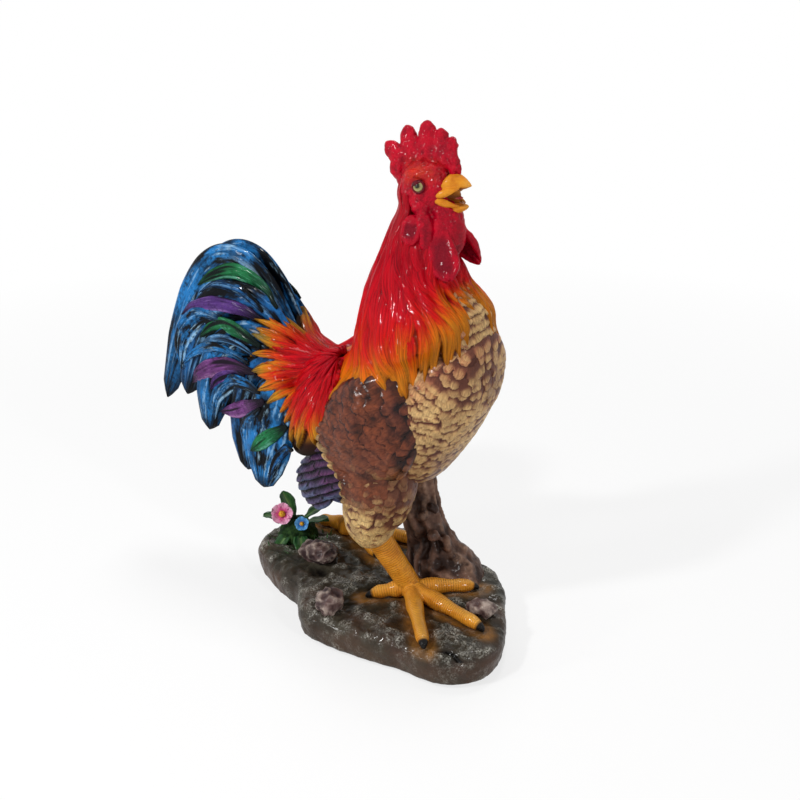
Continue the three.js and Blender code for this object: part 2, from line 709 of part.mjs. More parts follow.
function thighSolid(side, grow = 0) {
  const { hip, knee, ankle } = legPlan(side);
  const cuff = knee.clone().addScaledVector(ankle.clone().sub(knee).normalize(), CUFF_DROP);
  const points = [hip, hip.clone().lerp(knee, 0.45), hip.clone().lerp(knee, 0.82), knee, cuff];
  const widths = [THIGH_WIDTH, THIGH_WIDTH, 0.82 * THIGH_WIDTH, 0.6 * THIGH_WIDTH, CUFF_WIDTH];
  const sections = limbSections(points, widths);
  return solidOf(loft(sections, { steps: 10, sides: 16, roundStart: 0.3, roundEnd: 0.1, grow }));
}

// The shank, its spur and its toes with their claws, cast in one piece.
function shankSolid(side, grow = 0) {
  const { knee, ankle, toes } = legPlan(side);
  const middle = knee.clone().lerp(ankle, 0.5);
  // The shank runs on past the ankle to the ground, so that the rod in it stays covered.
  const heel = knee.clone().lerp(ankle, 1.2);
  const widths = [SHANK_WIDTH, SHANK_WIDTH, ANKLE_WIDTH, ANKLE_WIDTH];
  const shank = limbSections([knee, middle, ankle, heel], widths);
  const spurRoot = knee.clone().lerp(ankle, 0.7);
  const spurTip = spurRoot.clone().add(vec(-0.9, side * 0.1, 0.42).multiplyScalar(SPUR_LENGTH));
  const spur = limbSections([spurRoot, spurTip], [SPUR_WIDTH, 0.25 * SPUR_WIDTH]);
  const pieces = [
    loft(shank, { steps: 6, sides: 12, roundEnd: 0.15, grow }),
    loft(spur, { steps: 4, sides: 8, grow }),
  ];
  for (const { turn, reach } of toes) {
    const length = reach * TOE_LENGTH;
    const ahead = vec(Math.cos(radians(turn)), Math.sin(radians(turn)), 0);
    const toePoint = (out, z) => ankle.clone().addScaledVector(ahead, out).setZ(GROUND + z);
    const points = [
      toePoint(0, 0.44 * TOE_WIDTH),
      toePoint(0.45 * (length - CLAW_LENGTH), 0.44 * TOE_WIDTH),
      toePoint(length - CLAW_LENGTH, 0.5 * TOE_TIP_WIDTH),
      toePoint(length, 0.22 * TOE_TIP_WIDTH),
    ];
    const taper = [TOE_WIDTH, 0.92 * TOE_WIDTH, TOE_TIP_WIDTH, 0.3 * TOE_TIP_WIDTH];
    pieces.push(loft(limbSections(points, taper), { steps: 7, sides: 8, roundStart: 0.08, grow }));
  }
  return join(...pieces.map(solidOf));
}

// A round steel bar between two points.
function barSolid(from, to, width, grow = 0) {
  const run = to.clone().sub(from);
  const length = run.length();
  const geometry = new THREE.CylinderGeometry(width / 2 + grow, width / 2 + grow, length + 2 * grow, 14);
  geometry.rotateX(Math.PI / 2);
  geometry.applyQuaternion(new THREE.Quaternion().setFromUnitVectors(Z_AXIS, run.normalize()));
  const middle = from.clone().lerp(to, 0.5);
  geometry.translate(middle.x, middle.y, middle.z);
  return solidOf(geometry);
}

// The rod runs straight through the shank, from inside the base to inside the thigh.
function rodSolid(side, grow = 0) {
  const { knee, ankle } = legPlan(side);
  const up = knee.clone().sub(ankle).normalize();
  const foot = ankle.clone().addScaledVector(up, -ANKLE_RISE - ROD_BITE);
  return barSolid(foot, knee.clone().addScaledVector(up, ROD_BITE), ROD_WIDTH, grow);
}

function neckDowel(grow = 0) {
  const middle = onTorso(0.16, 0, 0.86);
  const half = vec(0, 0, DOWEL_LENGTH / 2);
  return barSolid(middle.clone().sub(half), middle.clone().add(half), DOWEL_WIDTH, grow);
}

function tailDowel(grow = 0) {
  const half = vec(-DOWEL_LENGTH / 2, 0, 0);
  return barSolid(TAIL_ROOT.clone().sub(half), TAIL_ROOT.clone().add(half), DOWEL_WIDTH, grow);
}

// Stump, rocks and flowers

function stumpSolid(grow = 0) {
  const rise = TORSO_AT.z - GROUND;
  // From its flared roots up: height, lean towards the top, and width from the flare to the trunk.
  const profile = [
    [-0.03, 0, 1],
    [0.07, 0.1, 0.8],
    [0.17, 0.38, 0.33],
    [0.3, 0.72, 0.08],
    [0.48, 0.92, 0],
    [0.68, 1, 0],
    [0.86, 1, 0],
  ];
  const sections = profile.map(([up, lean, flare]) => {
    const at = STUMP_FOOT.clone().lerp(STUMP_TOP, lean);
    const half = THREE.MathUtils.lerp(STUMP_WIDTH, STUMP_FLARE, flare) / 2;
    return section(vec(at.x, at.y, GROUND + up * rise), vec(half, 0, 0), vec(0, 0.86 * half, 0));
  });
  return solidOf(loft(sections, { steps: 10, sides: 16, grow }));
}

// A boulder: a faceted ball with dents, sunk a little in the ground.
function rockSolid({ at, size }, grow = 0) {
  const geometry = new THREE.IcosahedronGeometry(0.5, 2);
  const position = geometry.getAttribute("position");
  const spread = vec(...size).addScalar(2 * grow);
  const p = new THREE.Vector3();
  for (let i = 0; i < position.count; i++) {
    p.fromBufferAttribute(position, i);
    const dent = 1 + 0.09 * Math.sin(9 * p.x + 2) * Math.cos(8 * p.y) + 0.07 * Math.sin(11 * p.z);
    p.multiplyScalar(dent);
    p.multiply(spread);
    position.setXYZ(i, p.x, p.y, p.z);
  }
  geometry.deleteAttribute("normal");
  geometry.deleteAttribute("uv");
  geometry.translate(at[0], at[1], GROUND + size[2] / 2 - ROCK_SINK);
  return solidOf(mergeVertices(geometry, 1e-3));
}

const CLUMP_CENTRE = vec(CLUMP_AT.x, CLUMP_AT.y, GROUND);

function clumpSolid(grow = 0) {
  const geometry = new THREE.SphereGeometry(1, 14, 10);
  const radius = CLUMP_WIDTH / 2 + grow;
  geometry.scale(radius, radius, CLUMP_RISE + grow);
  geometry.translate(CLUMP_CENTRE.x, CLUMP_CENTRE.y, CLUMP_CENTRE.z);
  return solidOf(geometry);
}

// The direction that a compass turn and a tilt above the horizon point in, in degrees.
function pointing(turn, tilt) {
  const level = Math.cos(radians(tilt));
  return vec(level * Math.cos(radians(turn)), level * Math.sin(radians(turn)), Math.sin(radians(tilt)));
}

const FLOWER_FACING = pointing(FLOWER_TURN, FLOWER_TILT);

// Petals round a disc, on a stalk that reaches back into the clump.
function petalsSolid({ width, at }, grow = 0) {
  const shape = new THREE.Shape();
  const outlineCount = 6 * Math.round(PETAL_COUNT);
  const outlinePoint = (k) => {
    const angle = (2 * Math.PI * k) / outlineCount;
    const lobe = Math.abs(Math.sin((PETAL_COUNT * angle) / 2)) ** 0.6;
    const radius = (width / 2) * (0.52 + 0.48 * lobe) + grow;
    return new THREE.Vector2(radius * Math.cos(angle), radius * Math.sin(angle));
  };
  shape.setFromPoints([...Array(outlineCount).keys()].map(outlinePoint));
  const depth = PETAL_THICK + 2 * grow;
  const geometry = new THREE.ExtrudeGeometry(shape, { depth, bevelEnabled: false });
  geometry.translate(0, 0, -grow - PETAL_THICK);
  geometry.deleteAttribute("normal");
  geometry.deleteAttribute("uv");
  geometry.applyQuaternion(new THREE.Quaternion().setFromUnitVectors(Z_AXIS, FLOWER_FACING));
  const place = CLUMP_CENTRE.clone().add(vec(...at));
  geometry.translate(place.x, place.y, place.z);
  const back = place.clone().addScaledVector(FLOWER_FACING, -0.5 * PETAL_THICK);
  const stalk = barSolid(CLUMP_CENTRE.clone().lerp(place, 0.3), back, STALK_WIDTH, grow);
  return join(solidOf(mergeVertices(geometry, 1e-4)), stalk);
}

function pollenSolid({ width, at }) {
  const geometry = new THREE.SphereGeometry(0.16 * width, 10, 6);
  geometry.translate(...CLUMP_CENTRE.clone().add(vec(...at)).toArray());
  return solidOf(geometry);
}

function leafSolid({ turn, tilt }, grow = 0) {
  const out = pointing(turn, tilt);
  const root = CLUMP_CENTRE.clone().add(vec(0, 0, 0.6 * CLUMP_RISE));
  root.addScaledVector(out, 0.2 * CLUMP_WIDTH);
  const route = new THREE.LineCurve3(root, root.clone().addScaledVector(out, LEAF_LENGTH));
  const face = pointing(turn, tilt + 90);
  const sections = bladeSections(route, LEAF_WIDTH, LEAF_THICK, [0.4, 0.8, 1, 0.8, 0.3], face);
  return solidOf(loft(sections, { steps: 6, sides: 8, roundEnd: 0.15, grow }));
}

// Assembly: each casting is cut back from those that it is bonded to, by the glue gap

const GAP = BOND_GAP;
const SIDES = [
  ["right", RIGHT],
  ["left", LEFT],
];
const bothSides = (make, grow) => SIDES.map(([, side]) => make(side, grow));
const rodSockets = bothSides(rodSolid, GAP);
const dowelSockets = [neckDowel(GAP), tailDowel(GAP)];
const torsoRoom = torsoSolid(GAP);
const baseRoom = baseSolid(GAP);
const thighRoom = bothSides(thighSolid, GAP);
const wingRoom = bothSides(wingSolid, GAP);
const flightRoom = bothSides(flightSolid, GAP);
const saddleRoom = bothSides(saddleSolid, GAP);
const shankRoom = bothSides(shankSolid, GAP);
const capeRoom = capeSolid(GAP);
const headRoom = headSolid(GAP);
const coreRoom = coreSolid(GAP);

function addBase() {
  const group = addGroup("base");
  addPiece(group, "base_casting", cut(baseSolid(), ...rodSockets), PAINT.ground);
  const stump = cut(stumpSolid(), torsoRoom, baseRoom, ...shankRoom, ...thighRoom);
  addPiece(group, "tree_stump", stump, PAINT.bark);
  for (const rock of ROCKS) {
    const boulder = cut(rockSolid(rock), baseRoom, ...shankRoom, stumpSolid(GAP));
    addPiece(group, rock.name, boulder, PAINT.rock);
  }
}

function addFlowers() {
  const group = addGroup("flowers");
  const clumpRoom = clumpSolid(GAP);
  const petalRoom = FLOWERS.map((flower) => petalsSolid(flower, GAP));
  addPiece(group, "moss_clump", cut(clumpSolid(), baseRoom, ...petalRoom), PAINT.moss);
  FLOWERS.forEach((flower, i) => {
    const petals = cut(petalsSolid(flower), ...petalRoom.slice(0, i));
    addPiece(group, `${flower.name}_petals`, petals, i ? PAINT.blue : PAINT.pink);
    addPiece(group, `${flower.name}_centre`, cut(pollenSolid(flower), ...petalRoom), PAINT.pollen);
  });
  const taken = [baseRoom, clumpRoom, ...petalRoom, ...ROCKS.map((rock) => rockSolid(rock, GAP))];
  LEAVES.forEach((leaf, i) => {
    addPiece(group, `leaf_${i + 1}`, cut(leafSolid(leaf), ...taken), PAINT.leaf);
    taken.push(leafSolid(leaf, GAP));
  });
}

function addLegs() {
  const group = addGroup("legs");
  SIDES.forEach(([name, side], i) => {
    addPiece(group, `${name}_leg_rod`, rodSolid(side), PAINT.steel);
    const shank = cut(shankSolid(side), baseRoom, thighRoom[i], rodSockets[i]);
    addPiece(group, `${name}_shank_and_foot`, shank, PAINT.leg);
    const thigh = cut(thighSolid(side), torsoRoom, flightRoom[i], rodSockets[i]);
    addPiece(group, `${name}_thigh`, thigh, PAINT.breast);
  });
}

function addBody() {
  const group = addGroup("body");
  addPiece(group, "torso", cut(torsoSolid(), ...dowelSockets, ...rodSockets), PAINT.breast);
  addPiece(group, "neck_dowel", neckDowel(), PAINT.steel);
  addPiece(group, "tail_dowel", tailDowel(), PAINT.steel);
  addPiece(group, "neck_cape", cut(capeSolid(), torsoRoom, headRoom, ...dowelSockets), PAINT.hackle);
  SIDES.forEach(([name, side], i) => {
    const wing = cut(wingSolid(side), torsoRoom, capeRoom, thighRoom[i]);
    addPiece(group, `${name}_wing`, wing, PAINT.wing);
    const saddle = cut(saddleSolid(side), torsoRoom, capeRoom, coreRoom, wingRoom[i], thighRoom[i]);
    addPiece(group, `${name}_saddle_feathers`, saddle, PAINT.saddle);
    const flight = cut(flightSolid(side), torsoRoom, wingRoom[i], saddleRoom[i], coreRoom);
    addPiece(group, `${name}_flight_feathers`, flight, PAINT.flight);
  });
}

function addHead() {
  const group = addGroup("head");
  const combRoom = combSolid(GAP);
  const beakRoom = [upperBeak(GAP), lowerBeak(GAP)];
  const eyeRoom = bothSides(eyeSolid, GAP);
  const head = cut(headSolid(), combRoom, ...beakRoom, tongueSolid(GAP), ...eyeRoom);
  addPiece(group, "head", head, PAINT.comb);
  addPiece(group, "comb", cut(combSolid(), capeRoom, ...beakRoom), PAINT.comb);
  addPiece(group, "upper_beak", upperBeak(), PAINT.beak);
  addPiece(group, "lower_beak", cut(lowerBeak(), beakRoom[0]), PAINT.beak);
  addPiece(group, "tongue", cut(tongueSolid(), ...beakRoom), PAINT.tongue);
  SIDES.forEach(([name, side]) => {
    const wattle = cut(wattleSolid(side), headRoom, capeRoom, ...beakRoom);
    addPiece(group, `${name}_wattle`, wattle, PAINT.comb);
    const lobe = cut(lobeSolid(side), headRoom, capeRoom, wattleSolid(side, GAP));
    addPiece(group, `${name}_ear_lobe`, lobe, PAINT.comb);
    addPiece(group, `${name}_eye`, eyeSolid(side), PAINT.eye);
  });
}

function addTail() {
  const group = addGroup("tail");
  addPiece(group, "tail_core", cut(coreSolid(), torsoRoom, ...dowelSockets), PAINT.saddle);
  SIDES.forEach(([name, side], i) => {
    const taken = [coreRoom, torsoRoom, saddleRoom[i], flightRoom[i]];
    SICKLES.forEach((sickle, index) => {
      const outside = [...SICKLES.keys()].filter((other) => other > index);
      const outerRoom = outside.map((other) => sickleSolid(other, side, GAP));
      const carried = COVERTS.filter(({ on }) => on === sickle.name);
      const coverts = carried.map((covert) => cut(covertSolid(covert, index, side), ...outerRoom));
      const blade = cut(join(sickleSolid(index, side), ...coverts), ...taken);
      addPiece(group, `${name}_${sickle.name}_sickle`, blade, PAINT.sickle);
      taken.push(sickleSolid(index, side, GAP));
    });
  });
}

addBase();
addFlowers();
addLegs();
addBody();
addHead();
addTail();

export default rooster;
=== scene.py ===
import math

import bmesh
import bpy
import numpy as np
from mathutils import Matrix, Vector, noise
from mathutils.bvhtree import BVHTree
from mathutils.kdtree import KDTree


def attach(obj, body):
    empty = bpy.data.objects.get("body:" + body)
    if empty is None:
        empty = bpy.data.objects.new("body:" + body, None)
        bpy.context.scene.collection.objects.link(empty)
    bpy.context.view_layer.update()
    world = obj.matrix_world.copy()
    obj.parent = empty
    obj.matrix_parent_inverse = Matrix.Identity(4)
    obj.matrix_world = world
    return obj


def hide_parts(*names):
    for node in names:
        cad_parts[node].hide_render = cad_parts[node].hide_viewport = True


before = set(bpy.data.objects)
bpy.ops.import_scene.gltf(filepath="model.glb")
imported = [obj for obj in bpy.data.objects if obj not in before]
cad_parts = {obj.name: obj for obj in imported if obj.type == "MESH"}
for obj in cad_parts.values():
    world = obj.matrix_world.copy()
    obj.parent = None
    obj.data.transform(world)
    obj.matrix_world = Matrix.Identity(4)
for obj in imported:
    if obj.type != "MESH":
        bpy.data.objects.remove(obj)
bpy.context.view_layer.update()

# Sizes below are millimetres in the part's own frame, as in the solids. Finished meshes are metres.
MM = 0.001
RIGHT, LEFT = -1, 1
SIDES = (("right", RIGHT), ("left", LEFT))
GROUND = 28.0
MID = 15.0
TORSO_AT = np.array([11.0, MID, 185.0])
TORSO_HALF = np.array([73.0, 54.0, 59.0])
HEAD_AT = np.array([29.0, MID, 350.0])
HEAD_HALF = np.array([22.0, 18.0, 22.0])
WING_LONG, WING_HIGH, WING_THICK = 86, 84, 30
FLANK_TOP, FLANK_FOOT = 182, 108
STUMP_TALL, TRUNK_WIDE, FLARE_WIDE = 157, 32, 70
TOUCH_REACH = 60
rng = np.random.default_rng(41)


# Vectors, curves and noise


def vec(*values):
    return np.array(values, float)


def on_torso(along, side, up):
    return TORSO_AT + TORSO_HALF * vec(along, side, up)


def on_head(along, side, up):
    return HEAD_AT + HEAD_HALF * vec(along, side, up)


def unit(v):
    return v / np.maximum(np.linalg.norm(v, axis=-1, keepdims=True), 1e-9)


def push(points, ways, far):
    """Places moved along their ways, each by its own distance or all by the same one."""
    return points + ways * np.asarray(far)[..., None]


def ease(low, high, x):
    t = np.clip((np.asarray(x, float) - low) / (high - low), 0, 1)
    return t * t * (3 - 2 * t)


def bell(x, middle, width):
    return np.exp(-(((np.asarray(x, float) - middle) / width) ** 2))


def spline(rows, t):
    """Values at t, from 0 to 1, on a smooth curve through evenly spaced rows."""
    rows = np.asarray(rows, float)
    spans = len(rows) - 1
    rows = np.vstack([2 * rows[0] - rows[1], rows, 2 * rows[-1] - rows[-2]])
    x = np.clip(t, 0, 1) * spans
    k = np.minimum(x.astype(int), spans - 1)
    f = (x - k)[:, None]
    a, b, c, d = rows[k], rows[k + 1], rows[k + 2], rows[k + 3]
    return 0.5 * (2 * b + (c - a) * f + (2 * a - 5 * b + 4 * c - d) * f**2 + (3 * b - a - 3 * c + d) * f**3)


def bezier(points, t):
    a, b, c, d = (np.asarray(p, float) for p in points)
    t = np.asarray(t, float)[:, None]
    return a * (1 - t) ** 3 + 3 * b * t * (1 - t) ** 2 + 3 * c * t**2 * (1 - t) + d * t**3


def lumps(points, size, octaves):
    """Cloudy noise at each point, about -1 to 1, with lumps of the given size."""
    return np.array([noise.fractal(Vector(p), 0.9, 2.1, octaves) for p in points / size])


def creases(points, size):
    """Noise that peaks along thin lines, 0 to 1."""
    return np.array([1 - abs(noise.noise(Vector(p))) for p in points / size])


# Forms: smooth skins through elliptical sections


class Form:
    """A closed skin through sections: a centre and two half-axes each, with rounded ends."""

    def __init__(self, sections, start=0.0, end=0.0):
        self.rows = np.array([np.concatenate(s) for s in sections])
        self.start, self.end = start, end

    def size(self, t):
        s = np.ones_like(t)
        if self.start:
            s = s * np.sqrt(np.clip(1 - (1 - np.minimum(t / self.start, 1)) ** 2, 0, 1))
        if self.end:
            s = s * np.sqrt(np.clip(1 - (1 - np.minimum((1 - t) / self.end, 1)) ** 2, 0, 1))
        return s

    def place(self, t, turn):
        row = spline(self.rows, t)
        s = self.size(t)[:, None]
        around = row[:, 3:6] * np.cos(turn)[:, None] + row[:, 6:9] * np.sin(turn)[:, None]
        return row[:, :3] + s * around

    def mesh(self, steps, sides):
        t = (1 - np.cos(np.linspace(0.02, 0.98, steps) * math.pi)) / 2
        turn = np.linspace(0, 2 * math.pi, sides, endpoint=False)
        tt, aa = np.repeat(t, sides), np.tile(turn, steps)
        return self.place(tt, aa), tube_faces(steps, sides), tt, aa


def tube_faces(rings, sides):
    faces = []
    for i in range(rings - 1):
        for k in range(sides):
            n = (k + 1) % sides
            faces.append((i * sides + k, i * sides + n, (i + 1) * sides + n, (i + 1) * sides + k))
    faces.append(tuple(range(sides - 1, -1, -1)))
    faces.append(tuple(range((rings - 1) * sides, rings * sides)))
    return faces


def cross(x, y, z, width, depth, pitch=0.0):
    lean = math.radians(pitch)
    return vec(x, y, z), vec(0, width / 2, 0), vec(math.sin(lean), 0, math.cos(lean)) * depth / 2


def limb(points, widths):
    points = np.asarray(points, float)
    ahead = unit(np.gradient(points, axis=0))
    side = unit(np.cross(vec(0, 1, 0), ahead))
    up = unit(np.cross(ahead, side))
    return [(p, s * w / 2, u * w / 2) for p, s, u, w in zip(points, side, up, widths)]


def blade(path, width, thick, shares, face):
    t = np.linspace(0, 1, len(shares))
    points = path(t)
    ahead = unit(path(np.minimum(t + 0.01, 1)) - path(np.maximum(t - 0.01, 0)))
    across = unit(np.cross(face, ahead))
    through = unit(np.cross(ahead, across))
    return [
        (p, a * width * s / 2, o * thick * math.sqrt(s) / 2)
        for p, a, o, s in zip(points, across, through, shares)
    ]


def line(a, b):
    return lambda t: a + (b - a) * np.asarray(t)[:, None]


def skin_mesh(form, steps=56, sides=64):
    return form.mesh(steps, sides)[:2]


def limb_mesh(points, widths, start, end, steps, sides):
    return skin_mesh(Form(limb(points, widths), start, end), steps, sides)


# The castings' own forms


def torso_form():
    profile = [
        (-1, 0.2, 0.3, 0.24),
        (-0.77, 0.04, 0.64, 0.44),
        (-0.44, -0.1, 0.88, 0.72),
        (-0.04, -0.15, 1, 0.98),
        (0.36, 0.03, 0.96, 1),
        (0.69, 0.34, 0.8, 0.8),
        (0.91, 0.58, 0.58, 0.54),
        (1, 0.64, 0.44, 0.42),
    ]
    wide, deep = 2 * TORSO_HALF[1:]
    return Form([cross(*on_torso(a, 0, u), w * wide, d * deep) for a, u, w, d in profile], 0.1, 0.12)


def skull_form():
    profile = [
        (-1, -0.1, 0.5, 0.5),
        (-0.55, -0.04, 0.9, 0.9),
        (0, 0, 1, 1),
        (0.5, 0.04, 0.82, 0.86),
        (0.85, 0.02, 0.56, 0.7),
    ]
    wide, deep = 2 * HEAD_HALF[1:]
    return Form([cross(*on_head(a, 0, u), w * wide, d * deep) for a, u, w, d in profile], 0.3, 0.2)


CAPE_TOP = on_head(-0.05, 0, -0.5)
CAPE_HEM = on_torso(0.28, 0, 0.62)
CAPE_SLANT = 29


def cape_form():
    profile = [
        (0, 0, 36, 36, 0),
        (0.25, -6, 44.6, 50.4, 0.15),
        (0.5, -9, 67.2, 75.6, 0.4),
        (0.75, -5, 98.6, 108.4, 0.8),
        (1, 0, 112, 122.2, 1),
    ]
    sections = []
    for t, bow, width, depth, slant in profile:
        at = CAPE_TOP + (CAPE_HEM - CAPE_TOP) * t
        sections.append(cross(at[0] + bow, at[1], at[2], width, depth, 90 - CAPE_SLANT * slant))
    return Form(sections, 0.12, 0.14)


def wing_centre(side):
    return on_torso(-0.06, side * 0.92, 0.63) - vec(0, 0, WING_HIGH / 2)


def wing_form(side):
    profile = [
        (-0.5, -0.16, 0.5, 0.5),
        (-0.28, -0.1, 0.8, 0.84),
        (0, 0, 1, 1),
        (0.28, 0.03, 0.94, 0.98),
        (0.5, 0.02, 0.66, 0.7),
    ]
    sections = []
    for along, up, thick, high in profile:
        inward = side * 14 * (along if along > 0 else -0.6 * along)
        at = wing_centre(side) + vec(along * WING_LONG, -inward, up * WING_HIGH)
        sections.append(cross(*at, thick * WING_THICK, high * WING_HIGH))
    return Form(sections, 0.25, 0.25)


def flight_form(side):
    root = on_torso(-0.34, side * 0.86, -0.44)
    tip = root + vec(-0.58, -0.05 * side, -0.76) * 72
    face = unit(vec(-0.2, side, 0.2))
    return Form(blade(line(root, tip), 44, 17, (0.8, 0.95, 1, 0.96, 0.8), face), 0.1, 0.16)


def saddle_form(side):
    root = on_torso(-0.36, side * 0.34, 0.4)
    steps = ((0, 0, 0), (-24.4, 14, 2.8), (-39.5, 26, -37.6), (-43.2, 28, -79))
    guides = [root + vec(x, side * y, z) for x, y, z in steps]
    path = lambda t: bezier(guides, t)
    face = unit(vec(-0.3, side, 0.45))
    return Form(blade(path, 52, 18, (0.6, 0.9, 1, 0.9, 0.66, 0.36), face), 0.1, 0.1)


TAIL_ROOT = on_torso(-0.7, 0, 0.14)


def core_form():
    profile = [
        (0, -0.5, 0.8, 0.5),
        (0.3, -0.2, 1, 0.8),
        (0.6, 0.55, 1, 1),
        (0.85, 0.85, 0.84, 0.84),
        (1, 1, 0.56, 0.56),
    ]
    sections = []
    for along, up, wide, deep in profile:
        sections.append(cross(TAIL_ROOT[0] - 78 * along, MID, TAIL_ROOT[2] + 6 * up, wide * 45.6, deep * 52))
    return Form(sections, 0.1, 0.2)


SICKLES = (
    {"name": "top", "width": 42, "rise": (58, 104), "sweep": (88, 116), "tip": (145, -47)},
    {"name": "main", "width": 46, "rise": (38, 68), "sweep": (90, 70), "tip": (116, -36)},
    {"name": "side", "width": 46, "rise": (34, 38), "sweep": (80, 22), "tip": (88, -60)},
    {"name": "low", "width": 46, "rise": (20, 12), "sweep": (42, -18), "tip": (44, -84)},
    {"name": "under", "width": 46, "rise": (2, 0), "sweep": (20, -44), "tip": (23, -92)},
)
SICKLE_SHARES = (0.45, 0.7, 0.9, 1, 1, 1, 0.94, 0.74, 0.3)


def sickle_path(index, side):
    """Four guide places of a tail feather's middle, from its root to its tip."""
    shape = SICKLES[index]
    root = TAIL_ROOT + vec(-39, side * (0.6 + index) * 7.6, -4.16)
    at = lambda back, up: root + vec(-back, side * 0.05 * back, up)
    return [root, at(*shape["rise"]), at(*shape["sweep"]), at(*shape["tip"])]


def sickle_form(index, side):
    points = sickle_path(index, side)
    path = lambda t: bezier(points, t)
    return Form(blade(path, SICKLES[index]["width"], 8, SICKLE_SHARES, vec(0, side, 0)), 0, 0.06)


LEGS = {
    RIGHT: {
        "hip": on_torso(0.02, -0.55, -0.36),
        "knee": vec(1, -19, 88),
        "ankle": vec(27, -4, 37),
        "toes": ((40, 56), (-13, 78), (-51, 79), (-140, 36)),
    },
    LEFT: {
        "hip": on_torso(-0.24, 0.55, -0.36),
        "knee": vec(-44, 50, 88),
        "ankle": vec(-72, 57, 37),
        "toes": ((-30, 56), (12, 66), (50, 46), (180, 38)),
    },
}


def thigh_form(side):
    leg = LEGS[side]
    hip, knee = leg["hip"], leg["knee"]
    cuff = knee + unit(leg["ankle"] - knee) * 13
    points = [hip, hip + (knee - hip) * 0.45, hip + (knee - hip) * 0.82, knee, cuff]
    return Form(limb(points, (58, 58, 47.6, 34.8, 26)), 0.3, 0.1)


def toe_route(side, turn, length):
    ankle = LEGS[side]["ankle"]
    ahead = vec(math.cos(math.radians(turn)), math.sin(math.radians(turn)), 0)
    at = lambda out, z: ankle * vec(1, 1, 0) + ahead * out + vec(0, 0, GROUND + z)
    return [at(0, 7), at(0.45 * (length - 9), 6.6), at(length - 9, 4.8), at(length, 1.6)]


TORSO = torso_form()
CAPE = cape_form()
CORE = core_form()
WINGS = {side: wing_form(side) for _, side in SIDES}
FLIGHTS = {side: flight_form(side) for _, side in SIDES}
SADDLES = {side: saddle_form(side) for _, side in SIDES}
THIGHS = {side: thigh_form(side) for _, side in SIDES}


# Skins and grids: where feathers and strands are laid


def join(meshes):
    """Several meshes as one list of points and one of faces."""
    points, faces = [], []
    for mesh_points, mesh_faces in meshes:
        count = len(points)
        points.extend(np.asarray(mesh_points).tolist())
        faces.extend(tuple(i + count for i in face) for face in mesh_faces)
    return points, faces


class Skin:
    """The outer surface of some meshes, to lay feathers on."""

    def __init__(self, *meshes):
        self.tree = BVHTree.FromPolygons(*join(meshes))

    def first(self, point, outward, reach):
        """The first surface on the way in from outside: its place, normal, face and distance."""
        return self.tree.ray_cast(Vector(point + outward * reach), Vector(-outward), reach * 2)

    def cast(self, points, outward, reach):
        """How far out from each point the surface lies, and whether one was met."""
        far, met = np.zeros(len(points)), np.zeros(len(points), bool)
        for i, (point, out) in enumerate(zip(points, np.broadcast_to(outward, points.shape))):
            spot, _, _, run = self.first(point, out, reach)
            if spot is not None:
                far[i], met[i] = reach - run, True
        return far, met

    def touch(self, point, outward):
        """The place and normal of the first surface met, or nothing."""
        spot, normal, _, _ = self.first(point, outward, TOUCH_REACH)
        if spot is None:
            return None
        normal = np.array(normal)
        return np.array(spot), normal if normal @ outward > 0 else -normal

    def drape(self, grid, outward, reach, rounds, wrap=False):
        """How far out from a grid a cloth over the surface lies: hollows are bridged, high places kept."""
        ways = np.broadcast_to(outward, grid.shape).reshape(-1, 3)
        far, met = (part.reshape(grid.shape[:2]) for part in self.cast(grid.reshape(-1, 3), ways, reach))
        floor = np.where(met, far, -1e9)
        rows = np.array(far, float)
        for j in range(rows.shape[1]):
            good = np.flatnonzero(met[:, j])
            if len(good):
                rows[:, j] = np.interp(np.arange(len(rows)), good, far[good, j])
        for _ in range(rounds):
            soft = np.pad(rows, ((1, 1), (0, 0)), mode="edge")
            soft = np.pad(soft, ((0, 0), (1, 1)), mode="wrap" if wrap else "edge")
            soft = (soft[:-2, 1:-1] + soft[2:, 1:-1] + soft[1:-1, :-2] + soft[1:-1, 2:]) / 4
            rows = np.maximum(floor, soft)
        return rows


def soften(rows, rounds, wrap=False):
    """A grid of values or places, evened out over its neighbours."""
    for _ in range(rounds):
        soft = np.concatenate([rows[:1], rows, rows[-1:]], axis=0)
        rows = (soft[:-2] + 2 * rows + soft[2:]) / 4
        left = rows[:, -1:] if wrap else rows[:, :1]
        right = rows[:, :1] if wrap else rows[:, -1:]
        soft = np.concatenate([left, rows, right], axis=1)
        rows = (soft[:, :-2] + 2 * rows + soft[:, 2:]) / 4
    return rows


def grid_normals(grid, outward, wrap=False):
    """Normals of a grid of points, rows by columns, on the side that outward points to."""
    if wrap:
        wide = np.concatenate([grid[:, -1:], grid, grid[:, :1]], axis=1)
        across = wide[:, 2:] - wide[:, :-2]
    else:
        across = np.gradient(grid, axis=1)
    normals = unit(np.cross(across, np.gradient(grid, axis=0)))
    return normals * np.sign(np.sum(normals * outward))


def grid_shares(rows, columns):
    """How far down and how far across each place of a grid lies, 0 to 1."""
    return np.meshgrid(np.linspace(0, 1, rows), np.linspace(0, 1, columns), indexing="ij")


def side_grid(skin, x, level, side, bulge=0.0):
    """Places on a skin seen from one side, for a row of x at each height, and the normals there."""
    at = np.stack([x, np.full(x.shape, MID), np.broadcast_to(level[:, None], x.shape)], axis=-1)
    out = vec(0, side, 0)
    grid = push(at, out, soften(skin.drape(at, out, 110, 120) + bulge, 8))
    return grid, grid_normals(soften(grid, 8), out)


def form_grid(form, steps, sides):
    """A form's fine skin with its outward normals."""
    points, faces, tt, turn = form.mesh(steps, sides)
    shape = (steps, sides, 3)
    out = points - spline(form.rows, tt)[:, :3]
    normals = grid_normals(points.reshape(shape), out.reshape(shape), True)
    return points, faces, normals.reshape(-1, 3), tt, turn


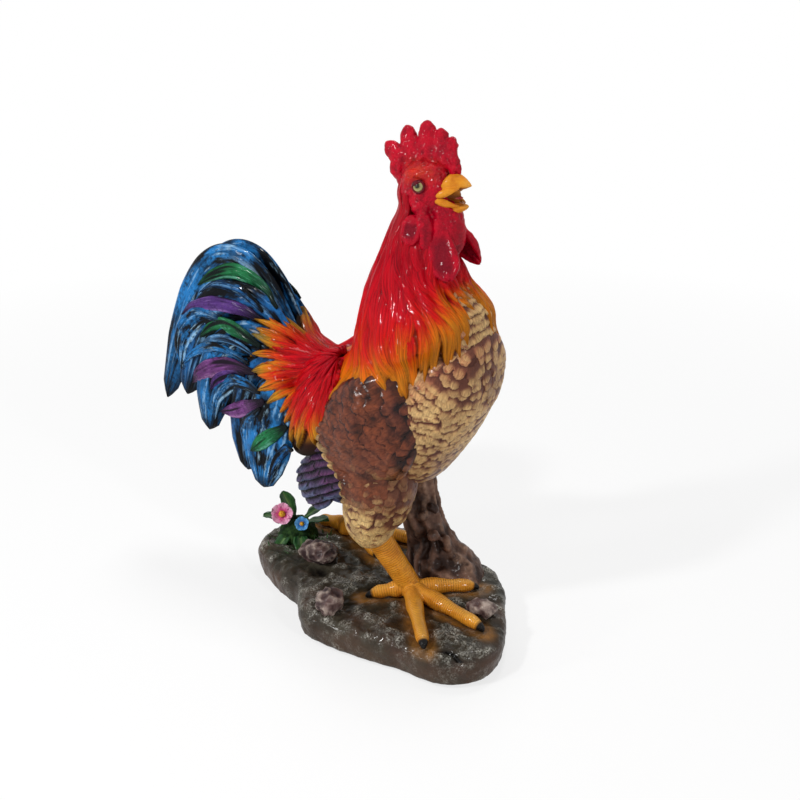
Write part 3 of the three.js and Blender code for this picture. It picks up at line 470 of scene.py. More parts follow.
def cavity(height, wrap=False):
    """How deep each place lies below its surroundings, 0 to 1."""
    return ease(0.12, 0.75, soften(height, 7, wrap) - height)


# Relief: feathers carved on skins


class Relief:
    """Feathers carved on a skin: at each point the highest feather there, with its painting values."""

    def __init__(self, shape, ground):
        self.height = np.broadcast_to(ground, shape).astype(float).copy()
        self.ground = self.height.copy()
        self.values = {key: np.zeros(shape) for key in ("along", "across", "tone", "paint")}
        self.values["across"] += 1

    def lay(self, where, height, **values):
        take = height > self.height[where]
        spots = tuple(w[take] for w in where) if isinstance(where, tuple) else where[take]
        self.height[spots] = height[take]
        for key, rows in values.items():
            self.values[key][spots] = np.broadcast_to(rows, height.shape)[take]


def carve_scales(points, normals, feathers, ground):
    """Flat feathers carved on a skin.

    Each feather is a place, the way out, the way it lies, a length, width and height, a tone and its paint.
    """
    relief = Relief(len(points), ground)
    tree = KDTree(len(points))
    for i, p in enumerate(points):
        tree.insert(p, i)
    tree.balance()
    drift, stray = 0.26 * lumps(points, 4.5, 2), 0.09 * lumps(points + 70, 5, 2)
    for spot, out, flow, length, width, lift, tone, paint in feathers:
        near = np.array([i for _, i, _ in tree.find_range(spot, 0.64 * length + 0.3 * width)], int)
        if not len(near):
            continue
        side = unit(np.cross(out, flow))
        ahead = np.cross(side, out)
        gap = points[near] - spot
        v = gap @ ahead / length + 0.45 + stray[near]
        wide = np.interp(v, (0, 0.2, 0.55, 0.8, 0.92, 1), (0.75, 0.95, 1, 0.9, 0.62, 0.06))
        u = gap @ side / (width / 2 * np.maximum(wide, 0.02)) + drift[near]
        keep = (v > 0) & (v < 1) & (np.abs(u) < 1) & (normals[near] @ out > 0.1)
        near, u, v = near[keep], u[keep], v[keep]
        rise = lift * np.interp(v, (0, 0.9, 0.97, 1), (0, 1, 0.94, 0.72)) * (1 - 0.3 * np.abs(u) ** 4)
        relief.lay(near, rise, along=v, across=u, tone=tone, paint=paint)
    return relief


def carve_grid(grid, normals, feathers, hollows, low=0.1, ground=-0.5, wrap=False):
    """Flat feathers carved on a grid: its heights, and its painting values with the grooves, darkened as
    painted shade and as the feathers' dark outlines.
    """
    relief = carve_scales(grid.reshape(-1, 3), normals.reshape(-1, 3), feathers, ground)
    carved = relief.height.reshape(grid.shape[:2])
    hollow = ease(*hollows, soften(carved, 4, wrap) - carved)
    # groove: painted shade in the hollows and low places between feathers, which also draws their dark
    # outlines
    groove = np.maximum(0.95 * hollow, 0.8 * ease(low, -0.3, carved))
    return carved, dict(relief.values, groove=groove.ravel())


# Pieces: finished meshes with their painting values


def sheet_faces(rows, columns):
    """A closed sheet: an upper grid, a lower grid and the edge between them."""
    at = lambda layer, r, c: layer * rows * columns + r * columns + c
    faces = []
    for r in range(rows - 1):
        for c in range(columns - 1):
            faces.append((at(0, r, c), at(0, r, c + 1), at(0, r + 1, c + 1), at(0, r + 1, c)))
            faces.append((at(1, r + 1, c), at(1, r + 1, c + 1), at(1, r, c + 1), at(1, r, c)))
    edge = [(0, c) for c in range(columns)] + [(r, columns - 1) for r in range(1, rows)]
    edge += [(rows - 1, c) for c in range(columns - 2, -1, -1)] + [(r, 0) for r in range(rows - 2, 0, -1)]
    for (r, c), (s, d) in zip(edge, edge[1:] + edge[:1]):
        faces.append((at(1, r, c), at(1, s, d), at(0, s, d), at(0, r, c)))
    return faces


class Batch:
    """Many small closed shapes gathered into one mesh, with painting values at each point."""

    def __init__(self):
        self.points, self.faces, self.values, self.count = [], [], {}, 0

    def add(self, points, faces, **values):
        self.points.append(points)
        self.faces.extend(tuple(i + self.count for i in face) for face in faces)
        for key, value in values.items():
            self.values.setdefault(key, []).append(np.broadcast_to(value, len(points)))
        self.count += len(points)

    def add_sheet(self, grid, normals, height, depth, values):
        """A closed sheet whose face stands a height above a grid, and its back a depth below it."""
        points = [push(grid, normals, far).reshape(-1, 3) for far in (height, -np.asarray(depth))]
        values = {key: np.tile(np.ravel(rows), 2) for key, rows in values.items()}
        self.add(np.vstack(points), sheet_faces(*grid.shape[:2]), **values)

    def piece(self, name, finish, slot, *nodes):
        points = np.vstack(self.points)
        values = {key: np.concatenate(rows) for key, rows in self.values.items()}
        make_piece(name, points, self.faces, finish, nodes, values)


def new_object(name, points, faces):
    """A closed mesh in the scene, from points in millimetres, with its faces turned outward."""
    mesh = bpy.data.meshes.new(name)
    mesh.from_pydata((np.asarray(points) * MM).tolist(), [], faces)
    work = bmesh.new()
    work.from_mesh(mesh)
    bmesh.ops.recalc_face_normals(work, faces=work.faces)
    work.to_mesh(mesh)
    work.free()
    piece = bpy.data.objects.new(name, mesh)
    bpy.context.collection.objects.link(piece)
    return piece


def add_values(piece, values):
    """Painting values, one for each point of a piece or one for all of them."""
    for key, rows in values.items():
        layer = piece.data.attributes.new(key, "FLOAT", "POINT")
        rows = np.broadcast_to(np.ravel(rows), len(piece.data.vertices))
        layer.data.foreach_set("value", rows.astype(np.float32))


def make_piece(name, points, faces, finish, nodes, values):
    piece = new_object(name, points, faces)
    add_values(piece, values)
    piece.data.polygons.foreach_set("use_smooth", [True] * len(piece.data.polygons))
    dress(piece, finish, nodes)


def dress(piece, finish, nodes=()):
    """Paints a piece, sets what it rides on, and hides the castings it stands for."""
    piece.data.materials.clear()
    piece.data.materials.append(finish)
    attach(piece, "root")
    if nodes:
        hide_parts(*nodes)


def fuse(name, meshes, voxel, rounds):
    """One smooth skin round several overlapping meshes."""
    return knead(new_object(name, *join(meshes)), voxel, rounds)


def knead(piece, voxel, rounds):
    """Remeshes a piece evenly and smooths it, as clay is worked."""
    bpy.ops.object.select_all(action="DESELECT")
    piece.select_set(True)
    bpy.context.view_layer.objects.active = piece
    remesh = piece.modifiers.new("even skin", "REMESH")
    remesh.mode = "VOXEL"
    remesh.voxel_size = voxel * MM
    bpy.ops.object.modifier_apply(modifier=remesh.name)
    smooth = piece.modifiers.new("smoothing", "SMOOTH")
    smooth.factor = 0.5
    smooth.iterations = rounds
    bpy.ops.object.modifier_apply(modifier=smooth.name)
    bpy.ops.object.shade_smooth()
    return piece


def cad_copy(node, name, voxel, rounds):
    """A copy of a casting's own mesh, merged and worked smooth."""
    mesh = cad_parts[node].data.copy()
    mesh.name = name
    work = bmesh.new()
    work.from_mesh(mesh)
    bmesh.ops.remove_doubles(work, verts=work.verts, dist=1e-6)
    work.to_mesh(mesh)
    work.free()
    piece = bpy.data.objects.new(name, mesh)
    bpy.context.collection.objects.link(piece)
    return knead(piece, voxel, rounds)


def primitive(name, add, at, **shape):
    """A simple closed shape at a place in millimetres, smooth, with its turn applied to its points."""
    add(location=tuple(at * MM), **shape)
    piece = bpy.context.active_object
    piece.name = piece.data.name = name
    bpy.ops.object.transform_apply(location=True, rotation=True, scale=True)
    bpy.ops.object.shade_smooth()
    return piece


def read_points(piece):
    """A piece's points, in millimetres, and their normals."""
    count = len(piece.data.vertices)
    points, normals = np.empty(count * 3), np.empty(count * 3)
    piece.data.vertices.foreach_get("co", points)
    piece.data.vertices.foreach_get("normal", normals)
    return points.reshape(-1, 3) / MM, normals.reshape(-1, 3)


def write_points(piece, points, **values):
    piece.data.vertices.foreach_set("co", (points * MM).ravel())
    add_values(piece, values)
    piece.data.update()


def carved_piece(name, form, steps, sides, feathers, finish, node, swell):
    """A form with rounded feathers carved all over it."""
    points, faces, normals, _, _ = form_grid(form, steps, sides)
    grid, ways = points.reshape(steps, sides, 3), normals.reshape(steps, sides, 3)
    carved, values = carve_grid(grid, ways, feathers, (0.02, 0.2), wrap=True)
    height = carved.ravel() + swell * lumps(points, 16, 2)
    make_piece(name, push(points, normals, height), faces, finish, (node,), values)


# Finishes: procedural paint under varnish


def tint(red, green, blue):
    """A paint colour given as it looks on the object, 0 to 255."""
    to_light = lambda c: c / 12.92 if c <= 0.04045 else ((c + 0.055) / 1.055) ** 2.4
    return tuple(to_light(c / 255) for c in (red, green, blue)) + (1.0,)


def new_group(name, inputs):
    """An empty group of shader nodes with the given inputs and one mask as its output."""
    group = bpy.data.node_groups.new(name, "ShaderNodeTree")
    for key, default in inputs:
        group.interface.new_socket(key, in_out="INPUT", socket_type="NodeSocketFloat").default_value = default
    group.interface.new_socket("Mask", in_out="OUTPUT", socket_type="NodeSocketFloat")
    return group, group.nodes.new("NodeGroupInput"), group.nodes.new("NodeGroupOutput")


def end_group(group, given, result, place, detail, roughness):
    """Ends a group with clouds at a place, spread between the low and high that are given."""
    nodes, links = group.nodes, group.links
    cloud = nodes.new("ShaderNodeTexNoise")
    cloud.inputs["Detail"].default_value = detail
    cloud.inputs["Roughness"].default_value = roughness
    links.new(place, cloud.inputs["Vector"])
    level = nodes.new("ShaderNodeMapRange")
    links.new(cloud.outputs["Fac"], level.inputs["Value"])
    links.new(given.outputs["Low"], level.inputs["From Min"])
    links.new(given.outputs["High"], level.inputs["From Max"])
    links.new(level.outputs["Result"], result.inputs["Mask"])
    return cloud


# How far apart in the clouds feathers of different tones lie
TONE_SPREAD = 37.0


def brush_streak_group():
    """Streaks that run along a feather, from its own along, across and tone values."""
    sizes = (("Length", 6.0), ("Breadth", 3.0), ("Low", 0.4), ("High", 0.6))
    group, given, result = new_group("brush streaks", sizes)
    nodes, links = group.nodes, group.links
    place = nodes.new("ShaderNodeCombineXYZ")
    for i, (key, size) in enumerate((("along", "Length"), ("across", "Breadth"), ("tone", None))):
        read = nodes.new("ShaderNodeAttribute")
        read.attribute_name = key
        times = nodes.new("ShaderNodeMath")
        times.operation = "MULTIPLY"
        links.new(read.outputs["Fac"], times.inputs[0])
        if size:
            links.new(given.outputs[size], times.inputs[1])
        else:
            times.inputs[1].default_value = TONE_SPREAD
        links.new(times.outputs[0], place.inputs[i])
    cloud = end_group(group, given, result, place.outputs[0], 4.0, 0.62)
    cloud.inputs["Scale"].default_value = 1.0
    return group


def dry_brush_group():
    """Patches of a nearly dry brush over the whole object."""
    group, given, result = new_group("dry brush", (("Scale", 60.0), ("Low", 0.45), ("High", 0.65)))
    place = group.nodes.new("ShaderNodeTexCoord")
    cloud = end_group(group, given, result, place.outputs["Object"], 5.0, 0.6)
    group.links.new(given.outputs["Scale"], cloud.inputs["Scale"])
    return group


STREAKS = brush_streak_group()
DRY_BRUSH = dry_brush_group()


class Finish:
    """A painted and varnished finish, with short ways to add its nodes."""

    def __init__(self, name, roughness=0.4, coat=0.0, coat_roughness=0.12):
        self.material = bpy.data.materials.new(name)
        self.material.use_nodes = True
        self.tree = self.material.node_tree
        self.shader = self.tree.nodes["Principled BSDF"]
        self.shader.inputs["Roughness"].default_value = roughness
        self.shader.inputs["Specular IOR Level"].default_value = 0.03
        self.shader.inputs["Coat Weight"].default_value = coat
        self.shader.inputs["Coat Roughness"].default_value = coat_roughness

    def put(self, socket, value):
        if isinstance(value, bpy.types.NodeSocket):
            self.tree.links.new(value, socket)
        else:
            socket.default_value = value

    def value(self, name):
        node = self.tree.nodes.new("ShaderNodeAttribute")
        node.attribute_name = name
        return node.outputs["Fac"]

    def group(self, tree, *numbers):
        node = self.tree.nodes.new("ShaderNodeGroup")
        node.node_tree = tree
        for socket, number in zip(node.inputs, numbers):
            socket.default_value = number
        return node.outputs["Mask"]

    def streaks(self, length, breadth, low, high):
        return self.group(STREAKS, length, breadth, low, high)

    def patches(self, scale, low, high):
        return self.group(DRY_BRUSH, scale, low, high)

    def level(self, value, low, high):
        node = self.tree.nodes.new("ShaderNodeMapRange")
        self.put(node.inputs["Value"], value)
        node.inputs["From Min"].default_value = low
        node.inputs["From Max"].default_value = high
        return node.outputs["Result"]

    def math(self, operation, a, b=0.0):
        node = self.tree.nodes.new("ShaderNodeMath")
        node.operation = operation
        self.put(node.inputs[0], a)
        self.put(node.inputs[1], b)
        return node.outputs[0]

    def times(self, a, b):
        return self.math("MULTIPLY", a, b)

    def plus(self, a, b):
        return self.math("ADD", a, b)

    def minus(self, a, b):
        return self.math("SUBTRACT", a, b)

    def ramp(self, value, *stops):
        node = self.tree.nodes.new("ShaderNodeValToRGB")
        elements = node.color_ramp.elements
        while len(elements) < len(stops):
            elements.new(0.5)
        for element, (place, colour) in zip(elements, stops):
            element.position = place
            element.color = tint(*colour)
        self.put(node.inputs["Fac"], value)
        return node.outputs["Color"]

    def mix(self, amount, a, b):
        node = self.tree.nodes.new("ShaderNodeMix")
        node.data_type = "RGBA"
        self.put(node.inputs[0], amount)
        self.put(node.inputs[6], tint(*a) if isinstance(a, tuple) else a)
        self.put(node.inputs[7], tint(*b) if isinstance(b, tuple) else b)
        return node.outputs[2]

    def done(self, colour, bump=None, depth=0.0004, strength=0.5):
        self.put(self.shader.inputs["Base Color"], colour)
        if bump is not None:
            node = self.tree.nodes.new("ShaderNodeBump")
            node.inputs["Distance"].default_value = depth
            node.inputs["Strength"].default_value = strength
            self.put(node.inputs["Height"], bump)
            self.tree.links.new(node.outputs["Normal"], self.shader.inputs["Normal"])
        return self.material


def strand_finish(name, stops, grooves, tip_dark, streak):
    """Flame-coloured feathers: one row of colours from red to yellow, another for their dark streaks and the
    painted shade in their grooves.
    """
    f = Finish(name, 0.36, 0.1, 0.06)
    wander = f.times(f.minus(f.streaks(3, 2.5, 0.2, 0.8), 0.5), 0.22)
    heat = f.plus(f.value("paint"), wander)
    # shade: the colour of the dark painted streaks, and of the painted shade in the grooves
    shade = f.ramp(heat, *grooves)
    colour = f.mix(f.times(f.streaks(1.8, 5.5, 0.46, 0.64), streak), f.ramp(heat, *stops), shade)
    # dusk: a dull brown-red mixed in as painted shade
    colour = f.mix(f.value("dusk"), colour, (120, 62, 58))
    # painted shade in the grooves between locks and flames
    colour = f.mix(f.value("groove"), colour, shade)
    colour = f.mix(f.times(f.level(f.value("along"), 0.84, 1.0), tip_dark), colour, (44, 34, 16))
    return f.done(colour, f.streaks(1.6, 11, 0.3, 0.7), 0.0005)


def scale_finish(name, stops, wash, wash_share, edge, touch, gloss, coat, mottle=0.35):
    """Body feathers: colours from root to tip, a thin wash over patches, fine barbs, dark edges and painted
    shade in the grooves.
    """
    f = Finish(name, gloss, coat, 0.15)
    shift = f.times(f.minus(f.value("tone"), 0.5), 0.26)
    rim = f.times(f.math("POWER", f.math("ABSOLUTE", f.value("across")), 3.0), 0.2)
    colour = f.ramp(f.minus(f.plus(f.value("along"), shift), rim), *stops)
    colour = f.mix(f.times(f.patches(24, 0.4, 0.64), wash_share), colour, wash)
    colour = f.mix(f.times(f.patches(46, 0.5, 0.66), mottle), colour, edge)
    colour = f.mix(f.times(f.value("paint"), f.level(f.value("along"), 0.3, 0.7)), colour, touch)
    barbs = f.streaks(2.2, 4.5, 0.42, 0.62)
    colour = f.mix(f.times(barbs, 0.45), colour, edge)
    colour = f.mix(f.times(f.patches(150, 0.5, 0.7), 0.35), colour, edge)
    # painted shade in the grooves, in the dark edge colour
    colour = f.mix(f.value("groove"), colour, edge)
    dents = f.times(f.patches(90, 0.3, 0.7), 2.0)
    return f.done(colour, f.minus(f.plus(dents, f.patches(420, 0.3, 0.7)), barbs), 0.0008)


def sickle_finish(name, dark, body, light, cover, sheen, ends=(0.04, 0.2, 0.9)):
    """Tail feathers: colour brushed over black in blotches, lighter on the ribs, with black ends."""
    f = Finish(name, 0.3, 0.1, 0.06)
    mask = f.streaks(4.5, 1.6, 0.6 - cover * 0.36, 0.72 - cover * 0.36)
    bare = f.times(f.patches(40, 0.47, 0.58), 0.95 - 0.7 * cover)
    mask = f.times(mask, f.minus(1.0, bare))
    colour = f.mix(mask, dark, body)
    ridge = f.times(f.level(f.value("rib"), 0.15, 0.8), f.streaks(6, 4, 0.36, 0.6))
    colour = f.mix(f.times(ridge, 0.85), colour, body)
    # gleam: painted highlights in the pale colour, on streaks, ribs and the light band, partly pale dry brush
    gleam = f.times(f.streaks(7, 5, 0.56, 0.68), sheen)
    gleam = f.math("MAXIMUM", gleam, f.times(f.level(ridge, 0.4, 1.0), sheen))
    gleam = f.math("MAXIMUM", gleam, f.times(f.value("light"), f.streaks(9, 6, 0.3, 0.5)))
    colour = f.mix(gleam, colour, light)
    scratch = f.times(f.patches(300, 0.5, 0.6), f.streaks(3, 7, 0.36, 0.6))
    colour = f.mix(f.times(scratch, 0.95 - 0.4 * cover), colour, dark)
    colour = f.mix(f.level(f.value("rib"), -0.3, -0.75), colour, dark)
    wander = f.times(f.minus(f.streaks(3, 5, 0.25, 0.75), 0.5), 2 * ends[0])
    along = f.plus(f.value("along"), wander)
    colour = f.mix(f.level(along, ends[2], 1.0), colour, dark)
    colour = f.mix(f.level(along, ends[1], ends[0]), colour, dark)
    return f.done(colour, f.streaks(4, 16, 0.3, 0.7), 0.0006)


def flesh_finish(name, body, deep, warm):
    f = Finish(name, 0.3, 0.2, 0.09)
    colour = f.mix(f.times(f.patches(110, 0.42, 0.66), 0.6), body, deep)
    # painted shade in the hollows and folds of the flesh, and at the corner of the mouth
    colour = f.mix(f.times(f.level(f.value("relief"), -0.1, -1.2), 0.85), colour, deep)
    colour = f.mix(f.times(f.value("brow"), f.patches(240, 0.25, 0.6)), colour, warm)
    return f.done(colour, f.patches(300, 0.3, 0.7), 0.0013, 0.6)


def beak_finish():
    f = Finish("beak ochre", 0.34, 0.14)
    colour = f.mix(f.patches(150, 0.4, 0.7), (216, 142, 40), (192, 110, 28))
    # inside: the mouth's darker lining, with painted shade inside the mouth and along the gap between the
    # halves
    colour = f.mix(f.value("inside"), colour, f.mix(f.patches(200, 0.4, 0.66), (134, 72, 22), (96, 44, 18)))
    colour = f.mix(f.value("tip"), colour, (220, 164, 80))
    return f.done(colour, f.patches(600, 0.3, 0.7), 0.0002)


def tongue_finish():
    f = Finish("tongue pink", 0.4, 0.12)
    return f.done(f.mix(f.patches(300, 0.35, 0.7), (158, 52, 56), (186, 92, 88)))


def leg_finish():
    f = Finish("leg ochre", 0.34, 0.22)
    colour = f.mix(f.patches(90, 0.4, 0.7), (222, 150, 46), (200, 122, 32))
    wave = f.math("ABSOLUTE", f.minus(f.math("FRACT", f.value("ring")), 0.5))
    scute = f.times(f.level(wave, 0.24, 0.46), f.patches(60, 0.25, 0.5))
    colour = f.mix(f.times(scute, 0.5), colour, (138, 80, 26))
    # pale: a painted highlight on the upward faces of the toes
    colour = f.mix(f.value("pale"), colour, (232, 188, 100))
    colour = f.mix(f.value("claw"), colour, (20, 18, 18))
    return f.done(colour, f.minus(f.patches(700, 0.4, 0.6), f.times(scute, 3.0)), 0.0004)


def eye_finish():
    f = Finish("eye varnished", 0.12, 0.5, 0.04)
    colour = f.ramp(
        f.value("gaze"),
        (0.0, (10, 8, 8)),
        (0.24, (12, 10, 9)),
        (0.3, (120, 112, 66)),
        (0.5, (176, 168, 112)),
        (0.72, (120, 108, 66)),
        (0.84, (38, 14, 16)),
    )
    return f.done(f.mix(f.times(f.patches(900, 0.4, 0.7), 0.3), colour, (84, 76, 42)))


def ground_finish():
    f = Finish("ground grey and brown", 0.42, 0.26, 0.14)
    colour = f.ramp(f.patches(34, 0.3, 0.75), (0.0, (34, 29, 24)), (0.5, (58, 51, 42)), (1.0, (76, 74, 63)))
    colour = f.mix(f.times(f.patches(22, 0.5, 0.66), 0.6), colour, (80, 54, 44))
    colour = f.mix(f.times(f.value("moss"), f.patches(90, 0.35, 0.6)), colour, (36, 50, 32))
    # darker round the feet: the dark airbrush there, with painted shade
    colour = f.mix(f.value("dim"), colour, (24, 28, 20))
    fine = f.times(f.patches(760, 0.42, 0.66), f.patches(150, 0.36, 0.6))
    brush = f.times(f.level(f.value("relief"), 0.0, 0.9), fine)
    colour = f.mix(brush, colour, (196, 193, 182))
    # painted shade: near black in the hollows and the crack
    colour = f.mix(f.level(f.value("relief"), -0.2, -1.1), colour, (16, 14, 12))
    colour = f.mix(f.times(f.value("ochre"), f.patches(60, 0.2, 0.6)), colour, (152, 102, 40))
    colour = f.mix(f.times(f.value("rim"), f.patches(40, 0.3, 0.6)), colour, (78, 57, 43))
    return f.done(colour, f.patches(260, 0.3, 0.7), 0.001)


def stone_finish(name, body, deep, pale):
    f = Finish(name, 0.5, 0.2, 0.2)
    colour = f.mix(f.patches(70, 0.4, 0.65), body, deep)
    # painted shade in the hollows, in the deep colour
    colour = f.mix(f.level(f.value("relief"), -0.1, -0.9), colour, deep)
    brush = f.times(f.level(f.value("relief"), 0.0, 0.9), f.patches(160, 0.38, 0.62))
    colour = f.mix(f.times(brush, 0.8), colour, pale)
    return f.done(colour, f.patches(320, 0.3, 0.7), 0.0007)


def moss_finish():
    f = Finish("moss dark green", 0.6)
    colour = f.mix(f.patches(160, 0.4, 0.62), (22, 40, 22), (52, 78, 40))
    return f.done(colour, f.patches(500, 0.3, 0.7), 0.0008)


def leaf_finish():
    f = Finish("leaf green", 0.36, 0.4)
    rib = f.math("POWER", f.minus(1.0, f.math("ABSOLUTE", f.value("across"))), 6.0)
    colour = f.mix(f.streaks(3, 4, 0.4, 0.65), (26, 62, 34), (58, 104, 52))
    colour = f.mix(f.times(rib, 0.7), colour, (122, 156, 92))
    return f.done(colour, f.streaks(4, 9, 0.3, 0.7), 0.0005)


def petal_finish(name, pale, deep, heart):
    f = Finish(name, 0.36, 0.3)
    rim = tuple(min(255, c + 26) for c in pale)
    colour = f.ramp(f.value("along"), (0.0, heart), (0.35, deep), (0.8, pale), (1.0, rim))
    colour = f.mix(f.times(f.streaks(2.5, 7, 0.48, 0.66), 0.7), colour, deep)
    return f.done(colour, f.streaks(3, 9, 0.3, 0.7), 0.0005)


def pollen_finish():
    f = Finish("pollen yellow", 0.5)
    colour = f.mix(f.patches(700, 0.4, 0.6), (238, 196, 70), (208, 120, 30))
    return f.done(colour, f.patches(900, 0.3, 0.7), 0.0006)


def steel_finish():
    f = Finish("steel brushed", 0.35)
    f.shader.inputs["Metallic"].default_value = 1.0
    return f.done(f.mix(f.patches(300, 0.35, 0.7), (150, 150, 152), (190, 190, 192)))


HACKLE = strand_finish(
    "hackle red to gold",
    (
        (0.0, (174, 4, 26)),
        (0.35, (190, 5, 24)),
        (0.56, (200, 18, 16)),
        (0.7, (208, 64, 14)),
        (0.84, (212, 106, 14)),
        (1.0, (190, 114, 22)),
    ),
    (
        (0.0, (96, 2, 16)),
        (0.5, (104, 3, 10)),
        (0.68, (104, 24, 8)),
        (0.85, (80, 38, 10)),
        (1.0, (48, 30, 12)),
    ),
    tip_dark=0.5,
    streak=0.7,
)
SADDLE = strand_finish(
    "saddle red to yellow",
    (
        (0.0, (182, 8, 28)),
        (0.42, (194, 8, 22)),
        (0.6, (198, 24, 16)),
        (0.74, (204, 84, 16)),
        (0.86, (198, 132, 28)),
        (1.0, (120, 98, 40)),
    ),
    ((0.0, (100, 3, 18)), (0.5, (84, 3, 10)), (0.72, (64, 18, 8)), (1.0, (22, 19, 12))),
    tip_dark=0.8,
    streak=0.9,
)
BREAST = scale_finish(
    "breast tan",
    (
        (0.38, (92, 56, 46)),
        (0.5, (152, 106, 76)),
        (0.64, (216, 174, 116)),
        (0.9, (234, 196, 134)),
        (1.0, (160, 114, 80)),
    ),
    wash=(134, 84, 64),
    wash_share=0.45,
    edge=(84, 48, 40),
    touch=(198, 92, 70),
    gloss=0.3,
    coat=0.16,
)
THIGH = scale_finish(
    "thigh tan and brown",
    (
        (0.4, (92, 56, 44)),
        (0.52, (158, 114, 78)),
        (0.68, (230, 192, 126)),
        (0.92, (240, 206, 140)),
        (1.0, (168, 122, 82)),
    ),
    wash=(134, 88, 64),
    wash_share=0.35,
    edge=(84, 48, 38),
    touch=(116, 68, 50),
    gloss=0.3,
    coat=0.16,
)
WING = scale_finish(
    "wing brown",
    ((0.4, (30, 14, 14)), (0.56, (80, 39, 32)), (0.8, (124, 65, 45)), (1.0, (78, 40, 33))),
    wash=(142, 70, 34),
    wash_share=0.6,
    edge=(26, 12, 12),
    touch=(198, 158, 104),
    gloss=0.22,
    coat=0.34,
    mottle=0.85,
)
FLIGHT = scale_finish(
    "flight purple and black",
    ((0.1, (15, 11, 18)), (0.4, (66, 38, 72)), (0.8, (104, 58, 100)), (1.0, (62, 46, 72))),
    wash=(40, 38, 54),
    wash_share=0.5,
    edge=(9, 8, 11),
    touch=(92, 110, 142),
    gloss=0.3,
    coat=0.2,
)
FLANK = scale_finish(
    "flank brown",
    ((0.4, (38, 18, 16)), (0.56, (88, 46, 36)), (0.8, (130, 73, 51)), (1.0, (86, 47, 37))),
    wash=(140, 72, 38),
    wash_share=0.55,
    edge=(30, 14, 13),
    touch=(222, 184, 122),
    gloss=0.22,
    coat=0.34,
    mottle=0.8,
)
SICKLE_BLUE = sickle_finish("sickle blue on black", (7, 9, 13), (36, 114, 178), (168, 208, 234), 0.5, 0.6)
SICKLE_DARK = sickle_finish("sickle black and blue", (6, 8, 12), (26, 88, 146), (126, 176, 216), 0.36, 0.45)
COVERT_FINISH = {
    "dark": SICKLE_DARK,
    "blue": SICKLE_BLUE,
    "pale": sickle_finish("covert pale blue", (16, 28, 46), (84, 140, 190), (176, 210, 236), 0.7, 0.6),
    "green": sickle_finish(
        "covert green", (10, 22, 20), (32, 112, 66), (110, 186, 160), 0.9, 0.4, (0.1, 0.42, 0.72)
    ),
    "purple": sickle_finish(
        "covert purple", (18, 12, 26), (86, 52, 124), (146, 112, 178), 0.9, 0.35, (0.1, 0.4, 0.74)
    ),
    "lilac": sickle_finish(
        "covert lilac", (26, 15, 30), (112, 60, 122), (168, 120, 172), 0.85, 0.4, (0.1, 0.4, 0.74)
    ),
}
COMB = flesh_finish("comb crimson", (182, 3, 34), (108, 2, 24), (208, 66, 30))
LEG = leg_finish()
ROCK = stone_finish("rock purple brown", (98, 77, 74), (54, 41, 42), (190, 172, 160))
BARK = stone_finish("bark brown", (116, 86, 72), (50, 33, 27), (166, 132, 110))
LEAF = leaf_finish()


# The bird's body, wings and thighs


def make_torso():
    skin = Skin(skin_mesh(TORSO))
    feathers = []
    middle = vec(20, MID, 190)
    for row, tilt in enumerate(np.arange(82, -88, -4.4)):
        e = math.radians(tilt)
        ring = max(10, int(2 * math.pi * 64 * math.cos(e) / 7.2))
        for k in range(ring):
            a = 2 * math.pi * (k + 0.5 * (row % 2) + rng.normal(0, 0.2)) / ring
            tip = e + rng.normal(0, 0.022)
            out = vec(math.cos(a) * math.cos(tip), math.sin(a) * math.cos(tip), math.sin(tip))
            found = skin.touch(middle + out * TOUCH_REACH, out)
            if found is None:
                continue
            spot, normal = found
            down = unit(vec(-0.45 - 0.45 * ease(30, -20, spot[0]), rng.normal(0, 0.2), -1))
            hem = 206 + (spot[0] - 40) * 0.9
            flush = 0.34 * float(ease(14, 0, hem - spot[2])) * rng.uniform(0, 1)
            back = float(ease(14, 0, spot[0]) * ease(182, 192, spot[2]))
            # fold: the breast darkens towards the crease below the wing's front, partly brown paint, partly
            # painted shade in the crease
            fold = float(ease(72, 44, spot[0]) * ease(180, 152, spot[2]))
            tone = rng.random() - 1.3 * back - 1.1 * fold * rng.uniform(0.4, 1)
            grow = rng.uniform(0.8, 1.3)
            long = 12 * grow / max(0.5, float(normal @ out))
            feathers.append((spot, normal, down, long, 9.2 * grow, rng.uniform(0.7, 1.15), tone, flush))
    carved_piece("torso_feathers", TORSO, 250, 370, feathers, BREAST, "torso", 0.35)


def make_wing(name, side):
    form = WINGS[side]
    skin = Skin(skin_mesh(form))
    feathers = []
    flow = unit(vec(-0.8, 0, -0.6))
    level = vec(-flow[2], 0, flow[0])
    centre = wing_centre(side)
    out = unit(vec(0.0, side, 0.05))
    for row, s in enumerate(np.arange(-62, 64, 6.6)):
        for c in np.arange(-62, 62, 7.6):
            at = centre + flow * s + level * (c + 3.8 * (row % 2)) + rng.normal(0, 1.0, 3)
            found = skin.touch(at, out)
            if found is None:
                continue
            spot, normal = found
            rear = float(ease(20, 40, (spot - centre) @ flow))
            low = float(ease(-14, -44, spot[2] - centre[2]))
            pale = max(rear * rng.uniform(0.5, 1), low * rng.uniform(0.15, 0.5))
            grow = rng.uniform(0.85, 1.2)
            lie = unit(flow + rng.normal(0, 0.08, 3))
            long, wide = 17 * grow * (1 + 0.3 * rear), 9.6 * grow * (1 - 0.2 * rear)
            lift = rng.uniform(0.8, 1.3)
            feathers.append((spot, unit(normal + 0.3 * out), lie, long, wide, lift, rng.random(), pale))
    carved_piece(f"{name}_wing_feathers", form, 190, 280, feathers, WING, f"{name}_wing", 0.9)


